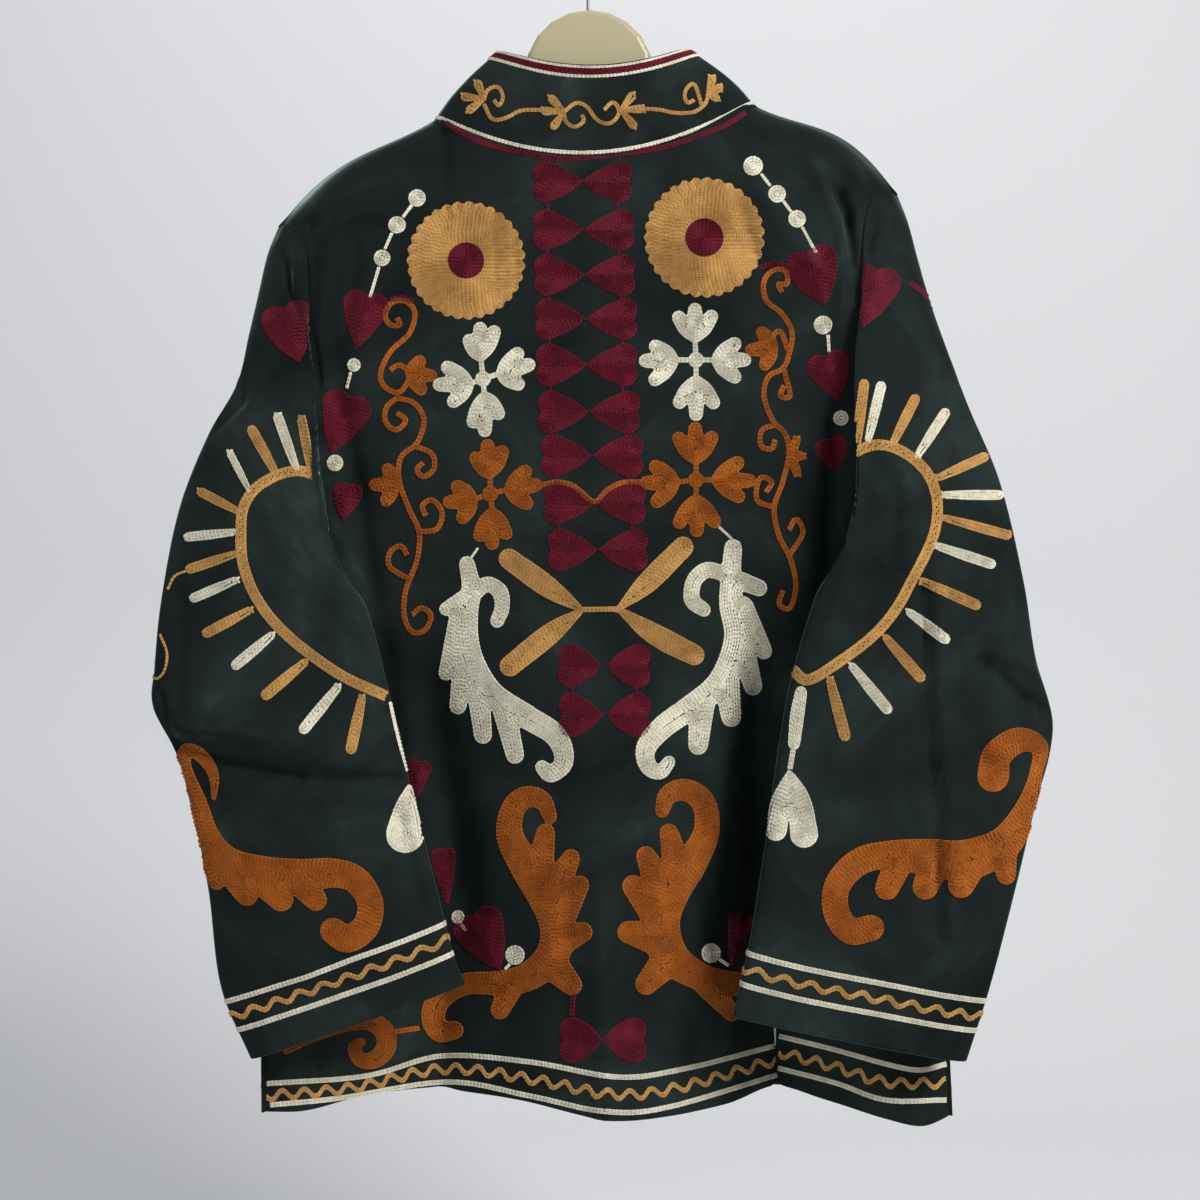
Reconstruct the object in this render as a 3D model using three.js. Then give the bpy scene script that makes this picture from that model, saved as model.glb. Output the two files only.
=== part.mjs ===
import * as THREE from 'three';

// A velvet jacket that hangs on a hanger. Millimetres, +Z up. The jacket's back faces -Y and its
// fronts face +Y, so "left" is -X. The origin is where the hook sits on whatever holds it up.

// Driving dimensions
const WALL = 2;
const COLLAR_WALL = 3;
const HALF_SEAM = 0.15;
const HALF_FRONT_GAP = 0.6;
const CENTRE_X = 5;

const SHOULDER_STEPS = 6;
const NECK_STEPS = 12;
const ARMHOLE_STEPS = 12;
const SIDE_STEPS = 14;
const SLEEVE_RINGS = 26;
const COLLAR_ROWS = 4;

// Shares of a panel's height: the armhole's, and those that the neck and hem lines shape
const ARMHOLE_SHARE = 0.35;
const TOP_REACH = 0.16;
const HEM_REACH = 0.75;

// How full a section is between its edges, and how its lean over the body grows: a low power
// leans at once, as the armhole does, and a high one leans in the middle
const FULLNESS = 0.8;
const ARMHOLE_LEAN = 0.6;
const SLEEVE_LEAN = 1.5;
const LEAN_CHANGE = 0.15;
const RING_CROWDING = 1.25;
const PANEL_FLATNESS = 4;

const NECK_LEFT = new THREE.Vector3(-115, -2, -144);
const NECK_RIGHT = new THREE.Vector3(125, -2, -133);
const NECK_SEAM = { backDip: 40, backDepth: 28, frontDip: 52, frontDepth: 19 };
const COLLAR_LEFT = new THREE.Vector3(-68, -2, -93);
const COLLAR_RIGHT = new THREE.Vector3(76, -2, -91);
const COLLAR_TOP = { backDip: 19, backDepth: 24, frontDip: 34, frontDepth: 14 };
const COLLAR_BELLY = 3;

// Where the cloth turns over the shoulder seam: how far it stands out, the steps from the neck
// over which that fades, and the share of the width from the armhole over which it starts
const SHOULDER_ROUND = 10;
const NECK_FADE = 3;
const ARMHOLE_FADE = 0.04;

// How much a stand collar's cloth leans down at the ends of the neck
const CORNER_LEAN = 0.7;

const LEFT = {
  side: -1,
  neck: NECK_LEFT,
  shoulder: new THREE.Vector3(-231, -4, -224),
  arch: 13,
  underarm: new THREE.Vector3(-246, -12, -458),
  hem: new THREE.Vector3(-237, -34, -875),
  hemLean: 0.4,
};
const RIGHT = {
  side: 1,
  neck: NECK_RIGHT,
  shoulder: new THREE.Vector3(231, -4, -200),
  arch: 16,
  underarm: new THREE.Vector3(250, -12, -440),
  hem: new THREE.Vector3(267, -26, -880),
  hemLean: -0.05,
};

// The back's hem from left to right: u is the share of its width
const HEM_BACK = rows(['u', 'y', 'z'], [
  [0.00, -34, -875],
  [0.06, -31, -875],
  [0.14, -12, -871],
  [0.25, -2, -870],
  [0.37, -24, -870],
  [0.50, -49, -876],
  [0.58, -45, -875],
  [0.67, -24, -873],
  [0.75, 0, -869],
  [0.82, -18, -872],
  [0.90, -38, -879],
  [0.95, -44, -882],
  [1.00, -26, -880],
]);

// Each front's hem from its side seam to its front edge
const HEM_FRONT_LEFT = rows(['u', 'y', 'z'], [
  [0.00, -34, -875],
  [0.12, -10, -874],
  [0.28, 16, -872],
  [0.55, 24, -870],
  [0.80, 12, -872],
  [1.00, 16, -873],
]);
const HEM_FRONT_RIGHT = rows(['u', 'y', 'z'], [
  [0.00, -26, -880],
  [0.12, -6, -878],
  [0.30, 18, -874],
  [0.55, 24, -872],
  [0.80, 14, -872],
  [1.00, 16, -873],
]);

// How far each panel's middle stands out, from neck to hem: v is the share of its height
const BACK_MIDDLE = rows(['v', 'y'], [
  [0.00, -30],
  [0.12, -37],
  [0.30, -40],
  [0.50, -40],
  [0.75, -44],
  [1.00, -49],
]);
const FRONT_MIDDLE = rows(['v', 'y'], [
  [0.00, NECK_LEFT.y + NECK_SEAM.frontDepth],
  [0.20, 19],
  [0.50, 20],
  [0.80, 18],
  [1.00, 16],
]);

// Soft troughs pressed into the back: from (x, z) to (toX, toZ), sunk by depth over width
const BACK_FOLDS = rows(['x', 'z', 'toX', 'toZ', 'width', 'depth'], [
  [186, -190, 196, -290, 13, 9],
  [-190, -225, -186, -330, 14, 5],
  [-120, -870, -96, -560, 26, 7],
  [142, -870, 150, -600, 18, 8],
  [20, -240, -40, -420, 30, 3],
]);

// One row for each section of a sleeve, from the armhole (t = 0) to the cuff (t = 1). The outer
// and inner edges are where the sleeve turns; back and front are how far it stands out between
// them, and bow and frontBow how far it leans over the body.
const SLEEVE_COLUMNS = [
  't', 'outX', 'outY', 'outZ', 'inX', 'inY', 'inZ', 'back', 'front', 'bow', 'frontBow',
];
const SLEEVE_LEFT = rows(SLEEVE_COLUMNS, [
  [0.00, -231, -4, -224, -246, -12, -458, 36, 22, 36, 22],
  [0.04, -238, -9, -245, -254, -22, -468, 37, 27, 44, 2],
  [0.09, -243, -15, -273, -246, -46, -478, 32, 26, 52, -6],
  [0.15, -249, -22, -308, -206, -60, -485, 26, 14, 36, -6],
  [0.21, -256, -29, -345, -178, -65, -490, 22, 6, 20, -3],
  [0.28, -275, -36, -383, -160, -67, -500, 20, 6, 7, 0],
  [0.36, -294, -42, -436, -150, -68, -526, 19, 8, 0, 0],
  [0.46, -306, -47, -503, -140, -69, -566, 18, 10, 0, 0],
  [0.54, -310, -50, -552, -131, -70, -600, 18, 12, 0, 0],
  [0.60, -310, -52, -580, -126, -71, -626, 22, 13, 0, 0],
  [0.64, -294, -53, -612, -121, -72, -645, 12, 10, 0, 0],
  [0.69, -283, -54, -648, -115, -73, -668, 18, 12, 0, 0],
  [0.79, -270, -56, -708, -104, -75, -710, 18, 13, 0, 0],
  [0.90, -260, -60, -777, -93, -78, -752, 15, 12, 0, 0],
  [1.00, -238, -64, -827, -85, -80, -770, 11, 9, 0, 0],
]);
const SLEEVE_RIGHT = rows(SLEEVE_COLUMNS, [
  [0.00, 231, -4, -200, 250, -12, -440, 36, 22, 40, 22],
  [0.04, 238, -9, -222, 258, -22, -450, 38, 27, 50, 2],
  [0.09, 244, -15, -250, 250, -46, -460, 34, 26, 58, -6],
  [0.15, 252, -22, -285, 212, -62, -468, 28, 14, 40, -6],
  [0.21, 263, -29, -322, 186, -68, -476, 24, 6, 22, -3],
  [0.28, 276, -36, -362, 166, -70, -490, 21, 6, 8, 0],
  [0.36, 297, -42, -417, 155, -72, -516, 20, 8, 0, 0],
  [0.46, 313, -47, -489, 142, -74, -562, 19, 10, 0, 0],
  [0.54, 321, -50, -545, 136, -76, -592, 19, 12, 0, 0],
  [0.60, 332, -52, -586, 130, -78, -630, 22, 13, 0, 0],
  [0.64, 330, -54, -612, 127, -80, -655, 15, 11, 0, 0],
  [0.69, 320, -56, -645, 122, -82, -684, 20, 13, 0, 0],
  [0.79, 304, -60, -706, 115, -84, -728, 20, 14, 0, 0],
  [0.90, 285, -64, -775, 106, -86, -770, 16, 12, 0, 0],
  [1.00, 267, -69, -827, 101, -88, -790, 12, 9, 0, 0],
]);

const BOARD = {
  y: -3,
  thick: 10,
  bevel: 4.5,
  domeX: 1,
  domeZ: -110,
  domeRadius: 43.5,
  neckFoot: 32,
  lowEdge: -186,
  armReach: 0.68,
  armHeight: 13,
  endRound: 0.8,
  armStations: [0.64, 0.48, 0.3, 0.12],
  neckFlare: 4,
  rest: 5.1,
};
const HOOK = {
  wire: 1.1,
  radius: 19,
  stemFoot: -61.7,
  bendZ: -42,
  startTurn: -0.3 * Math.PI,
  tipTurn: 1.05 * Math.PI,
  stemShare: 0.15,
  bendShare: 0.35,
};

const VELVET = new THREE.MeshStandardMaterial({ color: 0x1a2624, roughness: 0.85, metalness: 0 });
const KHAKI = new THREE.MeshStandardMaterial({ color: 0xb0a67e, roughness: 0.5, metalness: 0 });
const STEEL = new THREE.MeshStandardMaterial({ color: 0x30323a, roughness: 0.35, metalness: 0.9 });

// Numbers

function rows(names, values) {
  return values.map((value) => Object.fromEntries(names.map((name, i) => [name, value[i]])));
}

function mix(a, b, t) {
  return a + (b - a) * t;
}

function smooth(from, to, value) {
  const t = THREE.MathUtils.clamp((value - from) / (to - from), 0, 1);
  return t * t * (3 - 2 * t);
}

// Every column of a table at one value of its key, on a smooth curve through the rows
function along(table, key, at) {
  const last = table.length - 1;
  let i = 0;
  while (i < last - 1 && at > table[i + 1][key]) i += 1;
  const before = table[Math.max(i - 1, 0)];
  const from = table[i];
  const to = table[i + 1];
  const after = table[Math.min(i + 2, last)];
  const span = to[key] - from[key];
  const t = (at - from[key]) / span;
  const result = {};
  for (const name of Object.keys(from)) {
    const leave = (to[name] - before[name]) / (to[key] - before[key]) * span;
    const arrive = (after[name] - from[name]) / (after[key] - from[key]) * span;
    const bend = leave * t * (1 - t) * (1 - t) - arrive * t * t * (1 - t);
    result[name] = mix(from[name], to[name], t * t * (3 - 2 * t)) + bend;
  }
  result[key] = at;
  return result;
}

function lerp(a, b, t) {
  return a.clone().lerp(b, t);
}

// Seam lines

// A neck line from its left corner to its right one, round the back or the front
function neckLine(left, right, shape, isBack, s) {
  const sag = 4 * s * (1 - s);
  const point = lerp(left, right, s);
  const depth = Math.sqrt(sag);
  point.z -= sag * (isBack ? shape.backDip : shape.frontDip);
  point.y += isBack ? -depth * shape.backDepth : depth * shape.frontDepth;
  return point;
}

function shoulderLine(half, s) {
  const point = lerp(half.neck, half.shoulder, s);
  point.z += half.arch * Math.sin(Math.PI * Math.pow(s, 1.5));
  return point;
}

function sideLine(half, s) {
  return lerp(half.underarm, half.hem, s);
}

// A point of a sleeve's section; turn 0 is its outer edge, PI its inner edge, by way of the back
function sleevePoint(section, side, turn) {
  const share = (1 - Math.cos(turn)) / 2;
  const swell = Math.abs(Math.sin(turn));
  const isBack = Math.sin(turn) >= 0;
  const reach = isBack ? -section.back : section.front;
  const lean = isBack ? section.bow : section.frontBow;
  const leaning = mix(ARMHOLE_LEAN, SLEEVE_LEAN, smooth(0, LEAN_CHANGE, section.t));
  return new THREE.Vector3(
    mix(section.outX, section.inX, share) - side * lean * Math.pow(swell, leaning),
    mix(section.outY, section.inY, share) + reach * Math.pow(swell, FULLNESS),
    mix(section.outZ, section.inZ, share),
  );
}

function armholeTurn(step, isBack) {
  const turn = Math.PI * step / ARMHOLE_STEPS;
  return isBack ? turn : 2 * Math.PI - turn;
}

// Inward directions, shared by the two pieces that meet at a seam

function armholeInward(turn) {
  return new THREE.Vector3(0, Math.sin(turn), -Math.cos(turn));
}

function neckInward(isBack, s) {
  const sag = Math.sqrt(4 * s * (1 - s));
  const across = (s < 0.5 ? 1 : -1) * (1 - sag);
  return new THREE.Vector3(across, isBack ? sag : -sag, -CORNER_LEAN * (1 - sag)).normalize();
}

// Walls

// The surface normal at each point of a grid of points, which may close on itself across
function gridNormals(grid, isTube) {
  const height = grid.length;
  const width = grid[0].length;
  return grid.map((line, i) => line.map((_, j) => {
    const up = grid[Math.max(i - 1, 0)][j];
    const down = grid[Math.min(i + 1, height - 1)][j];
    const before = isTube ? line[(j + width - 1) % width] : line[Math.max(j - 1, 0)];
    const after = isTube ? line[(j + 1) % width] : line[Math.min(j + 1, width - 1)];
    const across = after.clone().sub(before);
    return across.cross(down.clone().sub(up)).normalize();
  }));
}

// Directions of a tube's grid, each averaged with its neighbours, so that tight folds keep a wall
function softened(directions) {
  const around = directions[0].length;
  return directions.map((line, i) => line.map((way, j) => {
    const sum = way.clone();
    sum.add(line[(j + 1) % around]).add(line[(j + around - 1) % around]);
    if (i > 0) sum.add(directions[i - 1][j]);
    if (i < directions.length - 1) sum.add(directions[i + 1][j]);
    return sum.normalize();
  }));
}

// A closed wall between a grid of outer points and the same grid moved inward
function wallMesh(name, outer, inner, isTube, material) {
  const height = outer.length;
  const width = outer[0].length;
  const points = [...outer.flat(), ...inner.flat()];
  const base = height * width;
  const at = (i, j) => i * width + (j % width);
  const index = [];
  const quad = (a, b, c, d) => index.push(a, b, c, a, c, d);
  const spans = isTube ? width : width - 1;
  for (let i = 0; i < height - 1; i += 1) {
    for (let j = 0; j < spans; j += 1) {
      quad(at(i, j), at(i + 1, j), at(i + 1, j + 1), at(i, j + 1));
      quad(base + at(i, j), base + at(i, j + 1), base + at(i + 1, j + 1), base + at(i + 1, j));
    }
  }
  for (let j = 0; j < spans; j += 1) {
    const end = height - 1;
    quad(at(0, j), at(0, j + 1), base + at(0, j + 1), base + at(0, j));
    quad(at(end, j + 1), at(end, j), base + at(end, j), base + at(end, j + 1));
  }
  for (let i = 0; i < height - 1 && !isTube; i += 1) {
    const end = width - 1;
    quad(at(i + 1, 0), at(i, 0), base + at(i, 0), base + at(i + 1, 0));
    quad(at(i, end), at(i + 1, end), base + at(i + 1, end), base + at(i, end));
  }
  const geometry = new THREE.BufferGeometry();
  const flat = points.flatMap((point) => [point.x, point.y, point.z]);
  geometry.setAttribute('position', new THREE.Float32BufferAttribute(flat, 3));
  geometry.setIndex(signedVolume(points, index) < 0 ? turnedOver(index) : index);
  geometry.computeVertexNormals();
  const mesh = new THREE.Mesh(geometry, material);
  mesh.name = name;
  return mesh;
}

function signedVolume(points, index) {
  let total = 0;
  for (let k = 0; k < index.length; k += 3) {
    const [a, b, c] = [points[index[k]], points[index[k + 1]], points[index[k + 2]]];
    total += a.dot(b.clone().cross(c));
  }
  return total;
}

function turnedOver(index) {
  return index.map((_, k) => index[k - (k % 3) + 2 - (k % 3)]);
}

// Panels

// A grid of points that fills the space between four edges; depth(u, v) gives its y
function panelGrid(panel) {
  const { top, bottom, left, right, across, down, depth } = panel;
  const corner = [top[0], top[top.length - 1], bottom[0], bottom[bottom.length - 1]];
  return down.map((v, i) => across.map((u, j) => {
    const blend = (axis) => (1 - v) * top[j][axis] + v * bottom[j][axis]
      + (1 - u) * left[i][axis] + u * right[i][axis]
      - (1 - v) * mix(corner[0][axis], corner[1][axis], u)
      - v * mix(corner[2][axis], corner[3][axis], u);
    const z = blend('z');
    return new THREE.Vector3(blend('x'), depth(u, v, i, j, top[j].z - z), z);
  }));
}

// The y of a panel's point: level with its edges at its edges, and with its middle in between
function panelDepth(panel, middle, fullness, u, v, i, j) {
  const { top, bottom, left, right } = panel;
  const level = (at, edgeLeft, edgeRight) => {
    const full = fullness(u);
    return mix(mix(edgeLeft.y, edgeRight.y, u), along(middle, 'v', at).y, full);
  };
  const body = level(v, left[i], right[i]);
  const atTop = top[j].y - level(0, top[0], top[top.length - 1]);
  const atHem = bottom[j].y - level(1, bottom[0], bottom[bottom.length - 1]);
  return body + atTop * (1 - smooth(0, TOP_REACH, v)) + atHem * smooth(1 - HEM_REACH, 1, v);
}

// How far the cloth stands out just below a shoulder seam, where it turns over the hanger
function shoulderRound(u, v, j, below) {
  const drop = Math.min(Math.max(below, 0), SHOULDER_ROUND);
  const round = Math.sqrt(drop * (2 * SHOULDER_ROUND - drop));
  const pastNeck = THREE.MathUtils.clamp((j - SHOULDER_STEPS) / NECK_FADE, 0, 1);
  return round * (1 - pastNeck) * (1 - smooth(0, TOP_REACH, v)) * smooth(0, ARMHOLE_FADE, u);
}

// How deep the soft troughs are at one place
function foldDepth(folds, x, z) {
  let total = 0;
  for (const fold of folds) {
    const runX = fold.toX - fold.x;
    const runZ = fold.toZ - fold.z;
    const share = ((x - fold.x) * runX + (z - fold.z) * runZ) / (runX * runX + runZ * runZ);
    const near = THREE.MathUtils.clamp(share, 0, 1);
    const away = Math.hypot(x - fold.x - runX * near, z - fold.z - runZ * near);
    total += fold.depth * Math.exp(-away * away / (fold.width * fold.width)) * (1 - near * near);
  }
  return total;
}

function downShares() {
  const shares = [];
  for (let i = 0; i <= ARMHOLE_STEPS; i += 1) {
    shares.push(ARMHOLE_SHARE * (1 - Math.cos(Math.PI * i / ARMHOLE_STEPS)) / 2);
  }
  for (let i = 1; i <= SIDE_STEPS; i += 1) {
    shares.push(mix(ARMHOLE_SHARE, 1, i / SIDE_STEPS));
  }
  return shares;
}

// A panel's outer edge: half of the armhole, then the side seam
function outerEdge(half, sleeve, isBack) {
  const edge = [];
  for (let i = 0; i <= ARMHOLE_STEPS; i += 1) {
    edge.push(sleevePoint(sleeve[0], half.side, armholeTurn(i, isBack)));
  }
  for (let i = 1; i <= SIDE_STEPS; i += 1) edge.push(sideLine(half, i / SIDE_STEPS));
  return edge;
}

function outerInward(half, isBack) {
  const edge = [];
  for (let i = 0; i < ARMHOLE_STEPS; i += 1) edge.push(armholeInward(armholeTurn(i, isBack)));
  edge.push(new THREE.Vector3(-half.side, 0, 1).normalize());
  for (let i = 1; i <= SIDE_STEPS; i += 1) {
    edge.push(new THREE.Vector3(-half.side, half.hemLean * i / SIDE_STEPS, 0).normalize());
  }
  return edge;
}

function hemEdge(table, from, to, across) {
  return across.map((u) => {
    const row = along(table, 'u', u);
    return new THREE.Vector3(mix(from, to, u), row.y, row.z);
  });
}

// Moves a grid's edge points off their seams, square to the seam and to its inward direction
function drawIn(grid, inward, sides, isTube) {
  const result = grid.map((line) => line.map((point) => point.clone()));
  const end = grid.length - 1;
  const far = grid[0].length - 1;
  const pull = (i, j, next, before, after, gap) => {
    const way = after.clone().sub(before).cross(inward[i][j]).normalize();
    const toNext = next.clone().sub(grid[i][j]);
    result[i][j].addScaledVector(way, way.dot(toNext) < 0 ? -gap : gap);
  };
  for (let j = 0; j <= far && sides.top; j += 1) {
    const before = grid[0][isTube ? (j + far) % (far + 1) : Math.max(j - 1, 0)];
    const after = grid[0][isTube ? (j + 1) % (far + 1) : Math.min(j + 1, far)];
    pull(0, j, grid[1][j], before, after, sides.top);
  }
  for (let i = 0; i <= end; i += 1) {
    const [up, down] = [Math.max(i - 1, 0), Math.min(i + 1, end)];
    if (sides.left) pull(i, 0, grid[i][1], grid[up][0], grid[down][0], sides.left);
    if (sides.right) pull(i, far, grid[i][far - 1], grid[up][far], grid[down][far], sides.right);
  }
  return result;
}

function inwardGrid(grid, isTube, towards) {
  return gridNormals(grid, isTube).map((line, i) => line.map((normal, j) => {
    const faces = towards(grid[i][j]).dot(normal) > 0;
    return faces ? normal : normal.clone().negate();
  }));
}

function offsetGrid(grid, inward, wall) {
  return grid.map((line, i) => line.map((p, j) => p.clone().addScaledVector(inward[i][j], wall)));
}

function panelMesh(name, panel, inwardY, sides) {
  const grid = panelGrid(panel);
  const inward = inwardGrid(grid, false, () => new THREE.Vector3(0, inwardY, 0));
  const far = grid[0].length - 1;
  for (let i = 0; i < grid.length; i += 1) {
    if (panel.leftInward) inward[i][0] = panel.leftInward[i];
    if (panel.rightInward) inward[i][far] = panel.rightInward[i];
  }
  panel.topInward.forEach((way, j) => { inward[0][j] = way; });
  const outer = drawIn(grid, inward, sides, false);
  return wallMesh(name, outer, offsetGrid(outer, inward, WALL), false, VELVET);
}

const DOWN = new THREE.Vector3(0, 0, -1);

// The back's top edge: left shoulder, neck, right shoulder
function backTop() {
  const points = [];
  const inward = [];
  const shares = [];
  for (let i = 0; i < SHOULDER_STEPS; i += 1) {
    points.push(shoulderLine(LEFT, 1 - i / SHOULDER_STEPS));
    inward.push(DOWN);
  }
  for (let i = 0; i <= NECK_STEPS; i += 1) {
    const s = i / NECK_STEPS;
    points.push(neckLine(NECK_LEFT, NECK_RIGHT, NECK_SEAM, true, s));
    inward.push(neckInward(true, s));
  }
  for (let i = 1; i <= SHOULDER_STEPS; i += 1) {
    points.push(shoulderLine(RIGHT, i / SHOULDER_STEPS));
    inward.push(DOWN);
  }
  const first = points[0].x;
  const width = points[points.length - 1].x - first;
  for (const point of points) shares.push((point.x - first) / width);
  return { points, inward, shares };
}

function makeBack() {
  const { points, inward, shares } = backTop();
  const panel = {
    top: points,
    bottom: hemEdge(HEM_BACK, LEFT.hem.x, RIGHT.hem.x, shares),
    left: outerEdge(LEFT, SLEEVE_LEFT, true),
    right: outerEdge(RIGHT, SLEEVE_RIGHT, true),
    across: shares,
    down: downShares(),
    topInward: inward,
    leftInward: outerInward(LEFT, true),
    rightInward: outerInward(RIGHT, true),
  };
  const fullness = (u) => 1 - Math.pow(Math.abs(2 * u - 1), PANEL_FLATNESS);
  panel.depth = (u, v, i, j, below) => {
    const fromSide = Math.min(u, 1 - u);
    const fromEnd = Math.min(j, shares.length - 1 - j);
    const level = panelDepth(panel, BACK_MIDDLE, fullness, u, v, i, j)
      - shoulderRound(fromSide, v, fromEnd, below);
    const x = mix(panel.left[i].x, panel.right[i].x, u);
    const z = mix(panel.left[i].z, panel.right[i].z, u);
    const inside = smooth(0, 0.05, u) * smooth(0, 0.05, 1 - u) * smooth(0, 0.03, v);
    return level + inside * foldDepth(BACK_FOLDS, x, z);
  };
  return panelMesh('back', panel, 1, { top: HALF_SEAM, left: HALF_SEAM, right: HALF_SEAM });
}

// A front panel runs from its armhole and side seam (u = 0) to its front edge (u = 1)
function makeFront(name, half, sleeve, hemTable) {
  const halfNeck = NECK_STEPS / 2;
  const points = [];
  const inward = [];
  for (let i = 0; i < SHOULDER_STEPS; i += 1) {
    points.push(shoulderLine(half, 1 - i / SHOULDER_STEPS));
    inward.push(DOWN);
  }
  for (let i = 0; i <= halfNeck; i += 1) {
    const s = half.side < 0 ? i / NECK_STEPS : 1 - i / NECK_STEPS;
    points.push(neckLine(NECK_LEFT, NECK_RIGHT, NECK_SEAM, false, s));
    inward.push(neckInward(false, s));
  }
  const edgeTop = points[points.length - 1];
  const shares = points.map((p) => (p.x - points[0].x) / (edgeTop.x - points[0].x));
  const down = downShares();
  const bottom = hemEdge(hemTable, half.hem.x, CENTRE_X, shares);
  const edge = down.map((v) => {
    const z = mix(edgeTop.z, bottom[bottom.length - 1].z, v);
    return new THREE.Vector3(CENTRE_X, along(FRONT_MIDDLE, 'v', v).y, z);
  });
  const panel = {
    top: points,
    bottom,
    left: outerEdge(half, sleeve, false),
    right: edge,
    across: shares,
    down,
    topInward: inward,
    leftInward: outerInward(half, false),
  };
  const fullness = (u) => 1 - Math.pow(1 - u, PANEL_FLATNESS);
  panel.depth = (u, v, i, j, below) => panelDepth(panel, FRONT_MIDDLE, fullness, u, v, i, j)
    + shoulderRound(u, v, j, below);
  return panelMesh(name, panel, -1, { top: HALF_SEAM, left: HALF_SEAM, right: HALF_FRONT_GAP });
}

// Tubes

function makeSleeve(name, half, table) {
  const around = 2 * ARMHOLE_STEPS;
  const grid = [];
  for (let i = 0; i <= SLEEVE_RINGS; i += 1) {
    const t = Math.pow(i / SLEEVE_RINGS, RING_CROWDING);
    const section = along(table, 't', t);
    const ring = [];
    for (let j = 0; j < around; j += 1) {
      ring.push(sleevePoint(section, half.side, 2 * Math.PI * j / around));
    }
    grid.push(ring);
  }
  const inward = softened(gridNormals(grid, true));
  const cuff = grid[SLEEVE_RINGS];
  const acrossCuff = cuff[ARMHOLE_STEPS].clone().sub(cuff[0]);
  const facing = inward[SLEEVE_RINGS][0].dot(acrossCuff) > 0 ? 1 : -1;
  inward.forEach((line) => line.forEach((way) => way.multiplyScalar(facing)));
  for (let j = 0; j < around; j += 1) inward[0][j] = armholeInward(2 * Math.PI * j / around);
  const toSleeve = new THREE.Vector3(half.side, 0, 1).normalize();
  inward[0][ARMHOLE_STEPS] = toSleeve;
  const outer = drawIn(grid, inward, { top: HALF_SEAM }, true);
  return wallMesh(name, outer, offsetGrid(outer, inward, WALL), true, VELVET);
}

// The collar is one band: it starts and ends at the centre front
function makeCollar() {
  const half = NECK_STEPS / 2;
  const stations = [];
  for (let i = half; i >= 0; i -= 1) stations.push({ s: i / NECK_STEPS, isBack: false });
  for (let i = 1; i < NECK_STEPS; i += 1) stations.push({ s: i / NECK_STEPS, isBack: true });
  for (let i = NECK_STEPS; i >= half; i -= 1) stations.push({ s: i / NECK_STEPS, isBack: false });
  const grid = [];
  for (let i = 0; i <= COLLAR_ROWS; i += 1) {
    const rise = i / COLLAR_ROWS;
    grid.push(stations.map(({ s, isBack }) => {
      const low = neckLine(NECK_LEFT, NECK_RIGHT, NECK_SEAM, isBack, s);
      const high = neckLine(COLLAR_LEFT, COLLAR_RIGHT, COLLAR_TOP, isBack, s);
      const belly = COLLAR_BELLY * Math.sin(Math.PI * rise);
      return lerp(low, high, rise).addScaledVector(neckInward(isBack, s), -belly);
    }));
  }
  const inward = grid.map(() => stations.map(({ s, isBack }) => neckInward(isBack, s)));
  const gaps = { top: HALF_SEAM, left: HALF_FRONT_GAP, right: HALF_FRONT_GAP };
  const outer = drawIn(grid, inward, gaps, false);
  return wallMesh('collar', outer, offsetGrid(outer, inward, COLLAR_WALL), false, VELVET);
}

// Hanger

// An arm's upper edge, which follows the shoulder seam from inside
function armPoint(half, s) {
  const seam = shoulderLine(half, s);
  return new THREE.Vector2(seam.x, seam.z - WALL - BOARD.rest - BOARD.bevel);
}

// The rounded end of an arm: its heel below, and the point that its end curves towards
function armEnd(half) {
  const tip = armPoint(half, BOARD.armReach);
  const onward = tip.clone().sub(armPoint(half, BOARD.armReach - 0.06)).normalize();
  const square = new THREE.Vector2(-onward.y, onward.x);
  if (square.y > 0) square.negate();
  const heel = tip.clone().addScaledVector(square, BOARD.armHeight);
  const round = lerp(tip, heel, 0.5).addScaledVector(onward, BOARD.armHeight * BOARD.endRound);
  return { tip, heel, round };
}

// The board's arms lie inside the shoulders, and its rounded neck stands in the collar
function makeBoard() {
  const { y, thick, bevel, domeX, domeZ, domeRadius, lowEdge } = BOARD;
  const neckHalf = domeRadius + BOARD.neckFlare;
  const neckZ = domeZ - BOARD.neckFoot;
  const left = armEnd(LEFT);
  const right = armEnd(RIGHT);
  const leftArm = BOARD.armStations.map((s) => armPoint(LEFT, s));
  const rightArm = BOARD.armStations.map((s) => armPoint(RIGHT, s)).reverse();
  const outline = new THREE.Shape();
  outline.moveTo(left.heel.x, left.heel.y);
  outline.quadraticCurveTo(left.round.x, left.round.y, left.tip.x, left.tip.y);
  outline.splineThru(leftArm);
  outline.quadraticCurveTo(domeX - neckHalf, neckZ, domeX - domeRadius, domeZ);
  outline.absarc(domeX, domeZ, domeRadius, Math.PI, 0, true);
  outline.quadraticCurveTo(domeX + neckHalf, neckZ, rightArm[0].x, rightArm[0].y);
  outline.splineThru([...rightArm.slice(1), right.tip]);
  outline.quadraticCurveTo(right.round.x, right.round.y, right.heel.x, right.heel.y);
  outline.quadraticCurveTo(right.heel.x / 2, lowEdge, domeX, lowEdge);
  outline.quadraticCurveTo(left.heel.x / 2, lowEdge, left.heel.x, left.heel.y);
  const geometry = new THREE.ExtrudeGeometry(outline, {
    depth: thick - 2 * bevel,
    bevelThickness: bevel,
    bevelSize: bevel,
    bevelSegments: 3,
    curveSegments: 5,
  });
  geometry.rotateX(Math.PI / 2);
  const mesh = new THREE.Mesh(geometry, KHAKI);
  mesh.name = 'hanger_board';
  mesh.position.y = y + thick / 2 - bevel;
  return mesh;
}

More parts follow.
